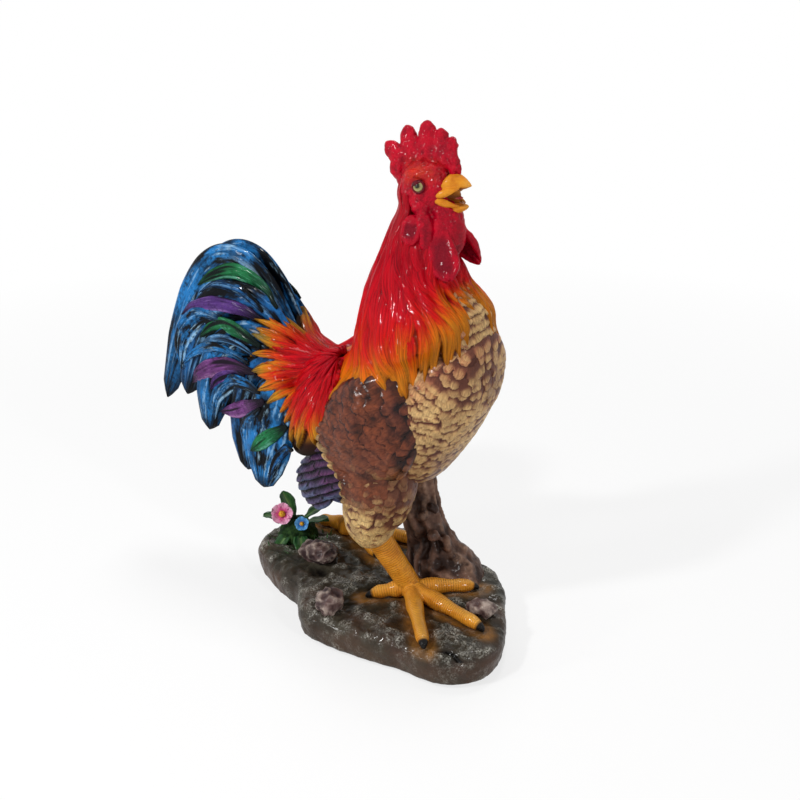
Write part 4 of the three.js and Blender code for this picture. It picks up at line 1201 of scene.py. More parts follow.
def make_thigh(name, side):
    form = THIGHS[side]
    feathers = []
    for row, t in enumerate(np.arange(0.03, 0.99, 0.05)):
        ring = max(8, int(160 / 8.4 * float(form.size(np.array([t]))[0])))
        for k in range(ring):
            turn = 2 * math.pi * (k + 0.5 * (row % 2) + rng.normal(0, 0.3)) / ring
            spread = np.array([t, min(1, t + 0.04)]) + rng.normal(0, 0.016)
            at, ahead = form.place(np.clip(spread, 0.01, 0.995), np.array([turn, turn]))
            middle = spline(form.rows, np.array([t]))[0][:3]
            out = unit(at - middle)
            down = unit(ahead - at + vec(-1.2, 0, -1.2) + rng.normal(0, 0.5, 3))
            dusk = float(ease(0.5, 0.2, t)) * rng.uniform(0.5, 1)
            grow = rng.uniform(0.75, 1.4)
            lift = rng.uniform(0.8, 1.4)
            feathers.append((at, out, down, 12.5 * grow, 8.6 * grow, lift, rng.random(), dusk))
    carved_piece(f"{name}_thigh_feathers", form, 180, 250, feathers, THIGH, f"{name}_thigh", 0.9)


def reach(skin, level, side):
    """How far back and forward a skin goes at each height, seen from one side."""
    scan = np.linspace(-110, 90, 100)
    found = []
    for z in level[::8]:
        at = np.column_stack([scan, np.full(100, MID), np.full(100, z)])
        hit = scan[skin.cast(at, vec(0, side, 0), 110)[1]]
        if len(hit):
            found.append((z, hit.min(), hit.max()))
    found = np.array(found)
    ends = soften(found[:, None, 1:], 3)[:, 0]
    return [np.interp(-level, -found[:, 0], ends[:, k]) for k in (0, 1)]


def flank_edge(rear, level):
    """Where the flank's pale tips end, over the flight feathers."""
    return rear + np.interp(level, (116, 130, 150, 168, 182), (17, 14, 7, -3, -4))


def flight_rows(points):
    """Flight feathers in slanting rows, each lying over the next one down, with rounded ends."""
    slope = points[:, 2] - 0.5 * points[:, 0]
    place = (points[:, 0] + 2 * lumps(points + 50, 20, 1)) / 19
    uneven = 0.16 * lumps(points, 22, 2)
    level = slope / 7.0 + uneven
    for _ in range(2):
        row = np.floor(level)
        u = 2 * ((place + 0.37 * row) % 1) - 1
        level = slope / 7.0 + uneven - 0.32 * np.abs(u) ** 3
    row = np.floor(level)
    cell = np.floor(place + 0.37 * row)
    v = 1 - (level - row)
    rise = 1.7 * ease(0, 0.9, v) * (1 - 0.3 * ease(0.93, 1, v)) * (1 - 0.35 * np.abs(u) ** 4)
    tone = (0.37 * row + 0.61 * cell) % 1
    low = np.maximum(ease(-40, -66, points[:, 0]), ease(134, 112, points[:, 2])) * (0.25 + 0.75 * tone)
    # groove: painted shadow under each row's overlapping edge, and painted shade at the feathers' sides
    groove = np.maximum(ease(0.36, 0.1, v), 0.9 * ease(0.8, 0.97, np.abs(u)))
    values = {"along": v, "across": 0.8 * u, "tone": tone, "paint": low, "groove": groove}
    return rise + 0.3 * lumps(points * vec(0.2, 0.2, 2.0), 4, 2), values


def make_flight(name, side):
    """The folded flight feathers, and the part of them that spreads over the back of the thigh."""
    points, faces, normals, _, _ = form_grid(FLIGHTS[side], 170, 220)
    rise, values = flight_rows(points)
    points = push(points, normals, rise - 1.2)
    make_piece(f"{name}_flight_rows", points, faces, FLIGHT, (f"{name}_flight_feathers",), values)
    fan, body = skin_mesh(FLIGHTS[side]), (skin_mesh(WINGS[side]), skin_mesh(THIGHS[side]))
    rows, columns = 120, 130
    level = np.linspace(166, FLANK_FOOT, rows)
    inner = reach(Skin(fan), level, side)
    edge = flank_edge(reach(Skin(*body), level, side)[0], level) + 7
    right = np.where(level > 118, np.minimum(edge, inner[1] + 40), inner[1] - 6)
    right = soften(right[:, None], 12)[:, 0]
    share = np.linspace(0, 1, columns)[None]
    x = (inner[0] + 3)[:, None] * (1 - share) + np.maximum(right, inner[0] + 8)[:, None] * share
    grid, normals = side_grid(Skin(fan, *body), x, level, side)
    rise, values = flight_rows(grid.reshape(-1, 3))
    down, along = grid_shares(rows, columns)
    hem = ease(0, 0.12, down) * ease(1, 0.9, down) * ease(0, 0.14, along) * ease(1, 0.9, along)
    batch = Batch()
    batch.add_sheet(grid, normals, rise.reshape(rows, columns) - 0.4 - 4.5 * (1 - hem), 6.5, values)
    batch.piece(f"{name}_flight_cover", FLIGHT, "flight")


def make_flank(name, side):
    """Feathers from the wing over the fold below it to the thigh, with pale tips along the rear edge."""
    rows, columns, pitch = 150, 176, 6.4
    level = np.linspace(FLANK_TOP, FLANK_FOOT, rows)
    wing, thigh = skin_mesh(WINGS[side]), skin_mesh(THIGHS[side])
    rear, front = reach(Skin(wing, thigh), level, side)
    share = np.linspace(0, 1, columns)[None]
    lobe = np.sqrt(np.clip(1 - (2 * ((level / pitch) % 1) - 1) ** 2, 0, 1))
    x = (flank_edge(rear, level) - 6 * lobe)[:, None] * (1 - share) + (front - 2)[:, None] * share
    bulge = 3.0 * np.clip(1 - share / 0.25, 0, 1) ** 2
    grid, normals = side_grid(Skin(wing, thigh, skin_mesh(FLIGHTS[side])), x, level, side, bulge)
    normals = soften(unit(normals + 0.4 * vec(0, side, 0)), 3)
    feathers = []
    for row, i in enumerate(range(4, rows - 2, 11)):
        for j in range(30 + 6 * (row % 2), columns - 2, 12):
            a = int(np.clip(i + rng.integers(-3, 4), 0, rows - 1))
            b = int(np.clip(j + rng.integers(-2, 3), 0, columns - 1))
            flow = unit(vec(-0.62 - 0.25 * ease(130, 170, level[a]), 0, -0.75) + rng.normal(0, 0.14, 3))
            pale = 0.9 * float(ease(132, 114, level[a])) * rng.uniform(0.4, 1)
            grow = rng.uniform(0.8, 1.4)
            lift = rng.uniform(0.6, 1.2)
            feathers.append((grid[a, b], normals[a, b], flow, 17 * grow, 10 * grow, lift, rng.random(), pale))
    for k in range(int(FLANK_FOOT / pitch), int(FLANK_TOP / pitch) + 1):
        a = int(np.argmin(np.abs(level - (k + 0.5) * pitch)))
        for b, size, pale in ((14, 1.0, 1.0), (28, 1.2, 0.5)):
            flow = unit(vec(-0.97, 0, -0.3) + rng.normal(0, 0.05, 3))
            lift, pale = 2.3 - 0.04 * b, pale * rng.uniform(0.75, 1)
            long, wide = 19 * size, 7.4 * size
            feathers.append((grid[a, b], normals[a, b], flow, long, wide, lift, rng.random(), pale))
    carved, values = carve_grid(grid, normals, feathers, (0.03, 0.3), ground=-0.6)
    down, along = grid_shares(rows, columns)
    hem = ease(0, 0.16, down) * ease(1, 0.84, down) * ease(0, 0.02, along)
    swell = 0.8 * lumps(grid.reshape(-1, 3), 12, 2).reshape(rows, columns)
    height = carved + 0.3 + swell - 3.6 * (1 - hem) - 11.0 * (1 - ease(1, 0.86, along))
    batch = Batch()
    batch.add_sheet(grid, normals, height, 5 + 8 * ease(0.8, 1, along), values)
    batch.piece(f"{name}_flank_feathers", FLANK, "wing")


# The hackle hangs from the head in layers, each over the one below

HACKLE_LAYERS = (
    # where the locks start and end along the cape, how many, how high they stand
    (0.6, 1.1, 46, 0.3),
    (0.44, 1.01, 40, 0.9),
    (0.26, 0.84, 26, 1.4),
    (0.1, 0.66, 22, 1.8),
    (-0.2, 0.46, 22, 2.1),
)
MAIN_LOCKS, LOCK_DEPTH = 22, 2.2
# A lock's width and height from its root to its tip: how far along, and the share there
LOCK_WIDTHS = (0, 0.12, 0.36, 0.6, 0.8, 0.92, 1), (0.5, 0.82, 1, 0.9, 0.62, 0.36, 0.03)
LOCK_HEIGHTS = (0, 0.15, 0.5, 0.8, 1), (0.1, 0.7, 1, 0.7, 0.1)


def main_locks(away, t):
    """The cape's main locks, as in the solid: 0 on their backs, down to the groove's depth between them."""
    phase = np.abs((MAIN_LOCKS * away / (2 * math.pi) + 0.5) % 1 - 0.5)
    return -LOCK_DEPTH * ease(0.05, 0.4, t) * np.clip(1 - 3 * phase, 0, 1)


def lock_start(turn):
    """Where the locks begin along the cape: lower at the front than at the back."""
    return np.interp(np.sin(turn), (-1, -0.5, 0, 1), (-0.16, -0.08, 0.08, 0.36))


def lock_cut(turn):
    """How much sooner the locks end: most over the breast, a little at the back."""
    return 0.34 * ease(0.76, 1.0, np.cos(turn - 1.71)) + 0.06 * ease(-0.3, -0.9, np.sin(turn))


def cape_guide(t, turn):
    """A guide place, and the way out from it, along the cape, above its top and below its hem."""
    row = spline(CAPE.rows, np.clip(t, 0, 0.86))
    around = row[:, 3:6] * np.cos(turn)[:, None] + row[:, 6:9] * np.sin(turn)[:, None]
    at = row[:, :3] + around + (CAPE_TOP - CAPE_HEM) * np.maximum(-t, 0)[:, None]
    fall = unit(CAPE.place(np.full_like(t, 0.86), turn) - CAPE.place(np.full_like(t, 0.7), turn))
    fall = unit(fall * vec(0.35, 0.35, 1) + vec(0, 0, -0.25))
    at = at + fall * (np.maximum(t - 0.86, 0) * 122)[:, None]
    return at, unit(around * vec(1, 1, 0.4) + vec(0, 0, 0.15) * np.linalg.norm(around, axis=1)[:, None])


def make_hackle():
    meshes = [skin_mesh(CAPE, 70, 72), skin_mesh(TORSO), skin_mesh(skull_form())]
    skin = Skin(*meshes, *(skin_mesh(WINGS[side]) for _, side in SIDES))
    rows, columns = 196, 484
    turns = np.linspace(0, 2 * math.pi, columns, endpoint=False)
    t, away = np.meshgrid(np.linspace(-0.23, 1.22, rows), turns, indexing="ij")
    at, out = cape_guide(t.ravel(), (away + 0.384 * np.cos(away) * ease(0.15, 0.9, t)).ravel())
    at, out = at.reshape(rows, columns, 3), out.reshape(rows, columns, 3)
    front = np.sin(away)
    far = skin.drape(at, out, 50, 120, True) - 5.0 * ease(0.2, 0.9, front) * bell(t, 0.7, 0.2)
    grid = soften(push(at, out, far), 2, True)
    even = (ease(0.5, 0.7, t) * ease(0.1, 0.5, front))[..., None]
    grid = grid + (soften(grid, 60, True) - grid) * even
    normals = soften(unit(0.4 * grid_normals(grid, out, True) + 0.6 * out), 3, True)
    ground = -0.7 - 2.6 * (1 - ease(-0.03, 0.03, t - lock_start(away)))
    ground = ground - 3.4 * ease(0.86, 0.94, t + lock_cut(away))
    relief = Relief(t.shape, ground)
    relief.values["paint"] = np.clip((t - 0.3) / 0.74, 0, 1)
    for layer, (start, end, count, lift) in enumerate(HACKLE_LAYERS):
        space = 2 * math.pi / count
        for k in range(count):
            turn = space * (k + 0.5 + rng.uniform(-0.24, 0.24))
            head = max(start, float(lock_start(turn)) - 0.02) + rng.uniform(-0.04, 0.04)
            stop = end + rng.uniform(-0.09, 0.07) - float(lock_cut(turn)) * (1, 1, 0.8, 0.4, 0)[layer]
            if stop - head < 0.16:
                continue
            v = (t - head) / (stop - head)
            sweep = 0.8 * math.cos(turn) * np.clip(v, 0, 1) ** 1.5
            bend = rng.uniform(0.2, 0.4) * np.sin(4.4 * v + rng.uniform(0, 6.28))
            bend = bend + rng.normal(0, 0.3) * v**2 + sweep
            wave = 0.1 * np.sin(7.5 * t + 2.2 * math.sin(2 * turn) + rng.normal(0, 0.3)) * ease(0.1, 0.4, t)
            half = 0.68 * space * rng.uniform(0.8, 1.3)
            half = half * np.interp(v, *LOCK_WIDTHS)
            aside = (away - turn - space * bend - wave + math.pi) % (2 * math.pi) - math.pi
            u = aside / np.maximum(half, 1e-4)
            where = np.nonzero((v > 0) & (v < 1) & (np.abs(u) < 1))
            u, v, s, f = u[where], v[where], t[where], front[where]
            arch = (1 - np.abs(u) ** 2) ** 0.8
            rise = rng.uniform(1.8, 2.6) * arch * np.interp(v, *LOCK_HEIGHTS)
            rise = rise + 0.24 * np.cos(3 * math.pi * u) * (1 - u**2) * ease(0, 0.3, v)
            level = lift * np.interp(v, (0, 0.25, 0.7, 1), (0, 0.8, 1, 0.25)) + 0.5 * ease(0.86, 1.0, s)
            rise = rise * (0.35 + 0.65 * ease(0.05, 0.32, s)) * (1 - 0.35 * ease(0.8, 1.0, s))
            heat = (s - 0.3) / 0.74 + rng.normal(0, 0.07) + 0.4 * np.maximum(f, 0) * ease(0.3, 0.6, s)
            heat = heat * (0.8 + 0.3 * v)
            relief.lay(where, level + rise, along=v, across=u, tone=rng.random(), paint=np.clip(heat, 0, 1))
    height = soften(relief.height + 0.8 * main_locks(away, t), 1, True)
    # painted shade in the hollows and along the edges of the locks
    groove = np.maximum(0.95 * cavity(height, True), 0.5 * np.abs(relief.values["across"]) ** 4)
    values = dict(relief.values, groove=groove, dusk=0.0)
    points = push(grid, normals, height).reshape(-1, 3)
    make_piece("neck_hackle", points, tube_faces(rows, columns), HACKLE, ("neck_cape",), values)
    make_bib(grid, normals, t, away)


def make_bib(grid, normals, t, away):
    """The breast's feathers run up over the front of the cape, to under the ends of its locks."""
    high, wide = t[:, 0] > 0.42, (away[0] > math.radians(24)) & (away[0] < math.radians(156))
    grid, normals, t, away = (part[high][:, wide] for part in (grid, normals, t, away))
    rows, columns = t.shape
    hem = t + lock_cut(away) - 0.9
    feathers = []
    for row, i in enumerate(range(4, rows - 4, 9)):
        for j in range(4 + 6 * (row % 2), columns - 4, 13):
            a = int(np.clip(i + rng.integers(-1, 2), 3, rows - 4))
            b = int(np.clip(j + rng.integers(-2, 3), 0, columns - 1))
            flow = unit(grid[a + 3, b] - grid[a - 3, b] + rng.normal(0, 0.6, 3))
            flush = 0.6 * float(ease(0.14, 0.0, hem[a, b])) * rng.uniform(0.2, 1)
            grow = rng.uniform(0.82, 1.3)
            lift = rng.uniform(1.2, 2.0)
            feathers.append((grid[a, b], normals[a, b], flow, 12 * grow, 9 * grow, lift, rng.random(), flush))
    carved, values = carve_grid(grid, normals, feathers, (0.03, 0.4), low=0.3)
    edge = ease(math.radians(24), math.radians(44), away) * ease(math.radians(156), math.radians(136), away)
    height = carved - 0.6 - 3.2 * ease(0.0, -0.08, hem) - 4.0 * (1 - edge) - 6.0 * ease(0.98, 1.12, t)
    batch = Batch()
    batch.add_sheet(grid, normals, height, 6.5, values)
    batch.piece("breast_bib_feathers", BREAST, "breast")


# Saddle flames fan from the back over the flank and the roots of the tail

SADDLE_LAYERS = (
    # where the flames start and end out from the back, how many, how high they stand
    (0.46, 1.0, 27, 0.3),
    (0.3, 0.84, 24, 0.9),
    (0.16, 0.64, 20, 1.5),
    (0.02, 0.44, 16, 2.0),
)
# The fan's first and last angle, in degrees up from straight back
SADDLE_TOP, SADDLE_FOOT = 78, -112
# A flame's width and height from its root to its tip: how far along, and the share there
FLAME_WIDTHS = (0, 0.12, 0.4, 0.6, 0.78, 0.9, 1), (0.6, 0.9, 1, 0.84, 0.5, 0.24, 0.02)
FLAME_HEIGHTS = (0, 0.15, 0.5, 0.85, 1), (0.1, 0.7, 1, 0.85, 0.5)


def flame_limit(angle):
    """How much of their length the flames keep: less at the foot of the fan."""
    return np.interp(angle, (-112, -92, -74), (0.86, 0.9, 1.0))


def make_saddle(name, side):
    """Flames that fan from the back over the flank and the roots of the tail."""
    meshes = [skin_mesh(form) for form in (CORE, SADDLES[side], TORSO, FLIGHTS[side])]
    meshes += [skin_mesh(sickle_form(i, side), 40, 24) for i in range(len(SICKLES))]
    skin = Skin(*meshes)
    rows, columns = 124, 300
    angles = np.linspace(SADDLE_TOP, SADDLE_FOOT, columns)
    share, angle = np.meshgrid(np.linspace(0.03, 1.0, rows), angles, indexing="ij")
    share = share * flame_limit(angle)
    turns = (-112, -95, -70, -63, -38, -27, -11, -3, 6, 15, 21, 32, 45, 60, 78)
    lengths = (44, 60, 76, 78, 75, 78, 85, 93, 92, 92, 88, 81, 70, 58, 44)
    length = np.interp(angle, turns, lengths) * share
    lean = np.radians(angle + 7 * share**2 * np.sin(np.radians(angle + 20)))
    high = np.maximum(np.sin(lean), 0)
    out = unit(np.stack([0.1 + 0 * lean, side + 0 * lean, 0.25 + 1.1 * high + 0.5 * (1 - share)], axis=-1))
    x, z = -34 - length * np.cos(lean), 209 + length * np.sin(lean)
    at = np.stack([x, MID + side * (8 + 20 * share), z], axis=-1)
    grid = soften(push(at, out, skin.drape(at, out, 80, 90)), 14)
    normals = soften(unit(0.5 * grid_normals(grid, out) + 0.5 * out), 3)
    relief = Relief(share.shape, -0.7 - 2.6 * ease(0.66, 0.82, share))
    relief.values["paint"] = np.clip(share, 0, 1)
    bare = ease(0.72, 0.9, share)
    for start, end, count, lift in SADDLE_LAYERS:
        space = (SADDLE_TOP - SADDLE_FOOT) / count
        for k in range(-1, count + 1):
            turn = SADDLE_TOP - space * (k + 0.5 + rng.uniform(-0.3, 0.3))
            head = start + rng.uniform(-0.05, 0.05)
            stop = (end + rng.uniform(-0.12, 0.0)) * flame_limit(turn)
            v = (share - head) / (stop - head)
            bend = rng.uniform(0.1, 0.3) * np.sin(3.2 * v + rng.uniform(0, 6.28))
            bend = bend + rng.normal(0, 0.35) * v**2
            half = 0.6 * space * rng.uniform(0.8, 1.25)
            half = half * np.interp(v, *FLAME_WIDTHS)
            u = (angle - turn - space * bend) / np.maximum(half, 1e-4)
            where = np.nonzero((v > 0) & (v < 1) & (np.abs(u) < 1))
            u, v, s, a = u[where], v[where], share[where], angle[where]
            rise = rng.uniform(1.3, 2.0) * (1 - u**2) ** 0.8 * np.interp(v, *FLAME_HEIGHTS)
            rise = rise + 0.14 * np.cos(3 * math.pi * u) * (1 - u**2) * ease(0, 0.3, v)
            level = lift * np.interp(v, (0, 0.25, 0.75, 1), (0, 0.8, 1, 0.6)) + 0.5
            heat = 1.02 * s / flame_limit(a) * (0.7 + 0.3 * end) * (1 - 0.4 * ease(34, 56, a))
            heat = heat + rng.normal(0, 0.06)
            relief.lay(where, level + rise, along=v, across=u, tone=rng.random(), paint=np.clip(heat, 0, 1))
    height = soften(relief.height, 1)
    # painted shade in the hollows and along the flames' edges; the bare sheet between the flame tips is
    # painted dark as shade, partly as the black feathers under them
    groove = np.maximum(0.95 * cavity(height), 0.5 * np.abs(relief.values["across"]) ** 4)
    groove = np.maximum(groove, bare * (relief.height <= relief.ground + 0.05))
    # painted shade: the upper flames dulled towards brown-red, far more on the left side than on the right
    dusk = (0.75 if side > 0 else 0.2) * ease(26, 50, angle) * ease(0.1, 0.3, share)
    batch = Batch()
    batch.add_sheet(grid, normals, height, 4.0, dict(relief.values, groove=groove, dusk=dusk))
    points, faces, tt, _ = SADDLES[side].mesh(40, 40)
    middle = spline(SADDLES[side].rows, tt)[:, :3]
    points = middle + (points - middle) * 0.7 + np.outer(ease(0.45, 1, tt), vec(6, 0, 30))
    batch.add(points, faces, along=0.4, across=0.5, tone=0.5, paint=0.1 + 0.3 * tt, groove=0.4, dusk=0.0)
    batch.piece(f"{name}_saddle_flames", SADDLE, "saddle", f"{name}_saddle_feathers")


def make_core():
    """The dark ridged feathers under the saddle, at the roots of the tail."""
    points, faces, tt, turn = CORE.mesh(60, 90)
    ridges = np.cos(15 * turn + 3 * tt)
    values = {"along": 0.2 + 0.3 * tt, "across": ridges, "tone": 0.4, "paint": 0.15 + 0.3 * tt}
    # painted shade: darker between the ridges, and dulled towards brown-red under the saddle
    values.update(groove=0.5 - 0.4 * ridges, dusk=0.4)
    make_piece("tail_core_feathers", points, faces, SADDLE, ("tail_core",), values)


# The tail's sickles and the shorter coverts that lie over them


def lay_blade(batch, points, face, width, thick, tone, fine, light):
    """A curved feather: points run along its middle, and face is its flat side's way out."""
    count = len(points)
    ahead = unit(np.gradient(points, axis=0))
    outer = unit(np.column_stack([ahead[:, 2], np.zeros(count), -ahead[:, 0]]))
    v = np.linspace(0, 1, count)
    c = np.linspace(-1, 1, fine)
    lens = np.clip(1 - c**2, 0, 1) ** 0.6
    length = np.linalg.norm(np.diff(points, axis=0), axis=1).sum()
    along, across = np.meshgrid(v * length, c * width.max() / 2, indexing="ij")
    flat = np.stack([along * 0.09, across, 0 * across + 90 * tone], axis=-1).reshape(-1, 3)
    rib = np.clip(1.5 * lumps(flat, 4.6, 2), -1, 1).reshape(count, fine)
    rib = rib * np.interp(v, (0, 0.1, 0.9, 1), (0.4, 1, 1, 0.4))[:, None]
    shape = thick / 2 * np.sqrt(width / width.max())
    top = shape[:, None] * lens[None] + 0.75 * rib * np.sqrt(lens)[None]
    upper = push(push(points[:, None], outer[:, None], width[:, None] / 2 * c), face, top)
    back = c[-2:0:-2]
    lower = push(points[:, None], outer[:, None], width[:, None] / 2 * back)
    lower = push(lower, face, -shape[:, None] * (1 - back**2) ** 0.6)
    rings = np.concatenate([upper, lower], axis=1)
    sides = rings.shape[1]
    under = np.zeros((count, len(back)))
    glow = np.zeros((count, fine)) if light is None else light(v[:, None], c[None])
    values = {"along": np.repeat(v, sides), "across": np.tile(np.concatenate([c, back]), count), "tone": tone}
    values["rib"] = np.concatenate([rib, under], axis=1).ravel()
    values["light"] = np.concatenate([glow, under], axis=1).ravel()
    batch.add(rings.reshape(-1, 3), tube_faces(count, sides), **values)


def make_sickle(index, name, side, finish):
    t = np.linspace(0, 1, 110)
    points = bezier(sickle_path(index, side), t)
    width = np.interp(t, np.linspace(0, 1, len(SICKLE_SHARES)), SICKLE_SHARES) * SICKLES[index]["width"]
    width[-3:] *= np.array([0.8, 0.55, 0.12])
    # a painted highlight band along the top sickle's outer rib near its root, partly pale paint
    gleam = (lambda v, c: bell(v, 0.26, 0.13) * bell(c, 0.45, 0.16)) if index == 0 else None
    tone = 0.13 * index + (side > 0) * 0.07
    batch = Batch()
    lay_blade(batch, points, vec(0, side, 0), width * 1.03, 8.4, tone, 41, gleam)
    label = SICKLES[index]["name"]
    batch.piece(f"{name}_{label}_sickle_feather", finish, "sickle", f"{name}_{label}_sickle")


# Each covert's finish, its width and its route, x and z in the frame
COVERTS = (
    ("green", 14, ((-98, 244), (-112, 256), (-128, 264), (-144, 267), (-163, 261), (-180, 250))),
    ("dark", 9, ((-110, 240), (-121, 248), (-135, 255), (-157, 255), (-179, 244))),
    ("purple", 13, ((-108, 232), (-126, 238), (-143, 240), (-161, 239), (-183, 232), (-199, 222))),
    ("blue", 22, ((-148, 226), (-170, 226), (-186, 215), (-196, 198), (-198, 176))),
    ("green", 14, ((-108, 214), (-128, 222), (-144, 224), (-161, 219), (-175, 208))),
    ("pale", 7, ((-110, 206), (-139, 214), (-158, 211), (-174, 203))),
    ("blue", 9, ((-116, 199), (-146, 205), (-163, 203), (-182, 193), (-197, 180))),
    ("lilac", 16, ((-108, 194), (-136, 193), (-155, 188), (-172, 179), (-186, 166))),
    ("purple", 11, ((-120, 189), (-138, 186), (-152, 179), (-161, 167))),
    ("blue", 15, ((-100, 181), (-124, 182), (-141, 176), (-155, 161), (-159, 140))),
    ("lilac", 14, ((-96, 175), (-116, 164), (-133, 156), (-152, 149))),
    ("blue", 10, ((-100, 168), (-119, 149), (-121, 134), (-116, 113))),
    ("green", 13, ((-74, 158), (-96, 142), (-112, 128))),
    ("dark", 9, ((-60, 146), (-75, 139), (-87, 124), (-96, 103))),
)


def make_coverts(name, side):
    sickles = [skin_mesh(sickle_form(i, side), 60, 32) for i in range(len(SICKLES))]
    skin = Skin(*sickles, skin_mesh(CORE), skin_mesh(SADDLES[side]))
    out = vec(0, side, 0)
    v = np.linspace(0, 1, 56)
    shape = np.interp(v, (0, 0.12, 0.35, 0.6, 0.82, 0.94, 1), (0.25, 0.6, 0.95, 1, 0.66, 0.3, 0.04))
    batches = {}
    for k, (label, wide, route) in enumerate(COVERTS):
        flat = spline(route, v)
        at = np.column_stack([flat[:, 0], np.full(len(v), MID), flat[:, 1]])
        far = skin.drape(at[:, None], out, 90, 60)[:, 0]
        # a pale band along one edge of the wide coverts: pale paint with a painted highlight
        edge = (lambda v, c: 0.8 * bell(c, -0.75, 0.16) * ease(0.3, 0.5, v)) if wide > 11 else None
        batch = batches.setdefault(label, Batch())
        tone = 0.07 * k + (side > 0) * 0.03
        lay_blade(batch, push(at, out, far + 0.5), out, wide * shape, 3.4, tone, 25, edge)
    for label, batch in batches.items():
        batch.piece(f"{name}_{label}_coverts", COVERT_FINISH[label], "sickle")


# The head


def make_head():
    meshes = [skin_mesh(skull_form(), 48, 48)]
    throat = [vec(38, MID, 346), vec(45.5, MID, 330), vec(48, MID, 316), vec(43, MID, 298)]
    meshes.append(limb_mesh(throat, (26, 23, 21, 14), 0.2, 0.3, 40, 32))
    for _, side in SIDES:
        brow = ((-0.5, 0.76, 0.58), (0.1, 0.8, 0.56), (0.6, 0.54, 0.42))
        brow = [on_head(along, side * out, up) for along, out, up in brow]
        cheek = [on_head(-0.2, side * 0.8, -0.3), on_head(0.4, side * 0.66, -0.5)]
        fold = [vec(x, MID + side * y, z) for x, y, z in ((32, 13, 338), (36, 15.5, 322), (37, 16, 306))]
        meshes.append(limb_mesh(brow, (5, 6, 4), 0.3, 0.3, 20, 16))
        meshes.append(limb_mesh(cheek, (16, 13), 0.5, 0.5, 20, 20))
        meshes.append(limb_mesh(fold, (15, 12, 7), 0.3, 0.3, 24, 20))
    piece = fuse("head_face", meshes, 0.8, 8)
    points, normals = read_points(piece)
    relief = lumps(points, 3.0, 2)
    for _, side in SIDES:
        near = np.linalg.norm(points - on_head(0.08, side * 0.9, 0.26), axis=1)
        points = push(points, normals, -1.6 * bell(near, 0, 5.0))
    low = ease(336, 324, points[:, 2])
    around = np.arctan2(points[:, 1] - MID, points[:, 0] - 28)
    folds = np.sin(around * 13 + 0.9 * lumps(points, 12, 2))
    relief = relief * (1 - 0.6 * low) + 0.7 * folds * low
    points = push(points, normals, 0.75 * relief)
    brow = bell(points[:, 2], HEAD_AT[2] + 13, 7) * bell(points[:, 0], HEAD_AT[0] - 1, 13)
    mouth = bell(np.linalg.norm((points - vec(51, MID, 347)) * vec(1, 1, 1.1), axis=1), 0, 5)
    # the relief value is lowered at the corner of the mouth for painted shade there
    write_points(piece, points, relief=relief - 2 * mouth, brow=0.6 * brow)
    dress(piece, COMB, ("head",))


# The comb's points: from and to, x and z in the frame, and the widths there
COMB_POINTS = (
    ((12, 366), (-7, 379.5), 23, 9),
    ((10, 362), (-2.5, 365), 22, 12),
    ((12, 356), (4.5, 351), 19, 11),
    ((8, 368), (3, 375), 20, 14),
    ((16, 370), (14, 355), 17, 16),
    ((16, 368), (11.4, 393.5), 20, 11),
    ((20, 366), (20, 382), 20, 13),
    ((27, 368), (29, 398), 20, 12),
    ((33, 366), (34.8, 385), 18, 13),
    ((37, 368), (40.3, 393.5), 17, 10),
    ((42, 367), (45, 382), 15, 11),
    ((43, 369), (49.3, 387.5), 14, 10),
    ((44, 370), (51, 377), 14, 12),
    ((46, 366), (54, 369.5), 13, 12),
)


def make_comb():
    meshes = []
    for root, tip, wide, slim in COMB_POINTS:
        ends = [vec(x, MID, z) for x, z in (root, tip)]
        route = [ends[0], (ends[0] + ends[1]) / 2, ends[1]]
        points, faces = limb_mesh(route, (wide, (wide + slim) / 2, slim), 0.3, 0.25, 28, 24)
        points = (points - vec(0, MID, 0)) * vec(1, 0.56, 1) + vec(0, MID, 0)
        meshes.append((points, faces))
    piece = fuse("comb_points", meshes, 0.75, 6)
    points, normals = read_points(piece)
    beads = ease(30, 46, points[:, 0]) * (1 - np.abs(lumps(points + 30, 5, 1)) * 2.2)
    ribs = np.sin(points[:, 0] * 0.9 + 0.7 * lumps(points, 9, 1)) * ease(388, 374, points[:, 2])
    relief = lumps(points, 4.5, 3) + 0.3 * ribs + 1.1 * beads
    points = push(points, normals, 0.6 * relief)
    root = ease(376, 364, points[:, 2]) * ease(8, 20, points[:, 0]) * ease(48, 38, points[:, 0])
    write_points(piece, points, relief=relief, brow=0.5 * root)
    dress(piece, COMB, ("comb",))


def make_wattle(name, side):
    root = on_head(0.66, side * 0.5, -0.7)
    bend, tip = root + vec(1.7, side * 4, -21.5), root + vec(14.6, side * 9, -43)
    shares = (0.5, 0.66, 0.9, 1.04, 0.84)
    if side == LEFT:
        tip, shares = tip + vec(4.5, 0, 5), (0.5, 0.8, 1.04, 0.9, 0.5)
    path = lambda t: root * (1 - t[:, None]) ** 2 + 2 * bend * (t * (1 - t))[:, None] + tip * t[:, None] ** 2
    form = Form(blade(path, 22, 9, shares, unit(vec(0.35, side, 0))), 0.15, 0.3)
    points, faces, normals, tt, turn = form_grid(form, 90, 84)
    face = np.abs(np.sin(turn))
    hollow = -4.2 * ease(0.55, 0.95, face) * ease(0.2, 0.5, tt) * ease(1.0, 0.84, tt)
    hollow = hollow + 1.0 * bell(face, 0.3, 0.3) * ease(0.3, 0.6, tt)
    relief = hollow + 0.5 * np.sin(tt * 9 + 5 * np.cos(turn)) * ease(0, 0.4, tt) + 0.6 * lumps(points, 4, 2)
    points = push(points, normals, 0.6 * relief)
    values = {"relief": 0.3 * relief, "brow": 0.0}
    make_piece(f"{name}_wattle_flesh", points, faces, COMB, (f"{name}_wattle",), values)


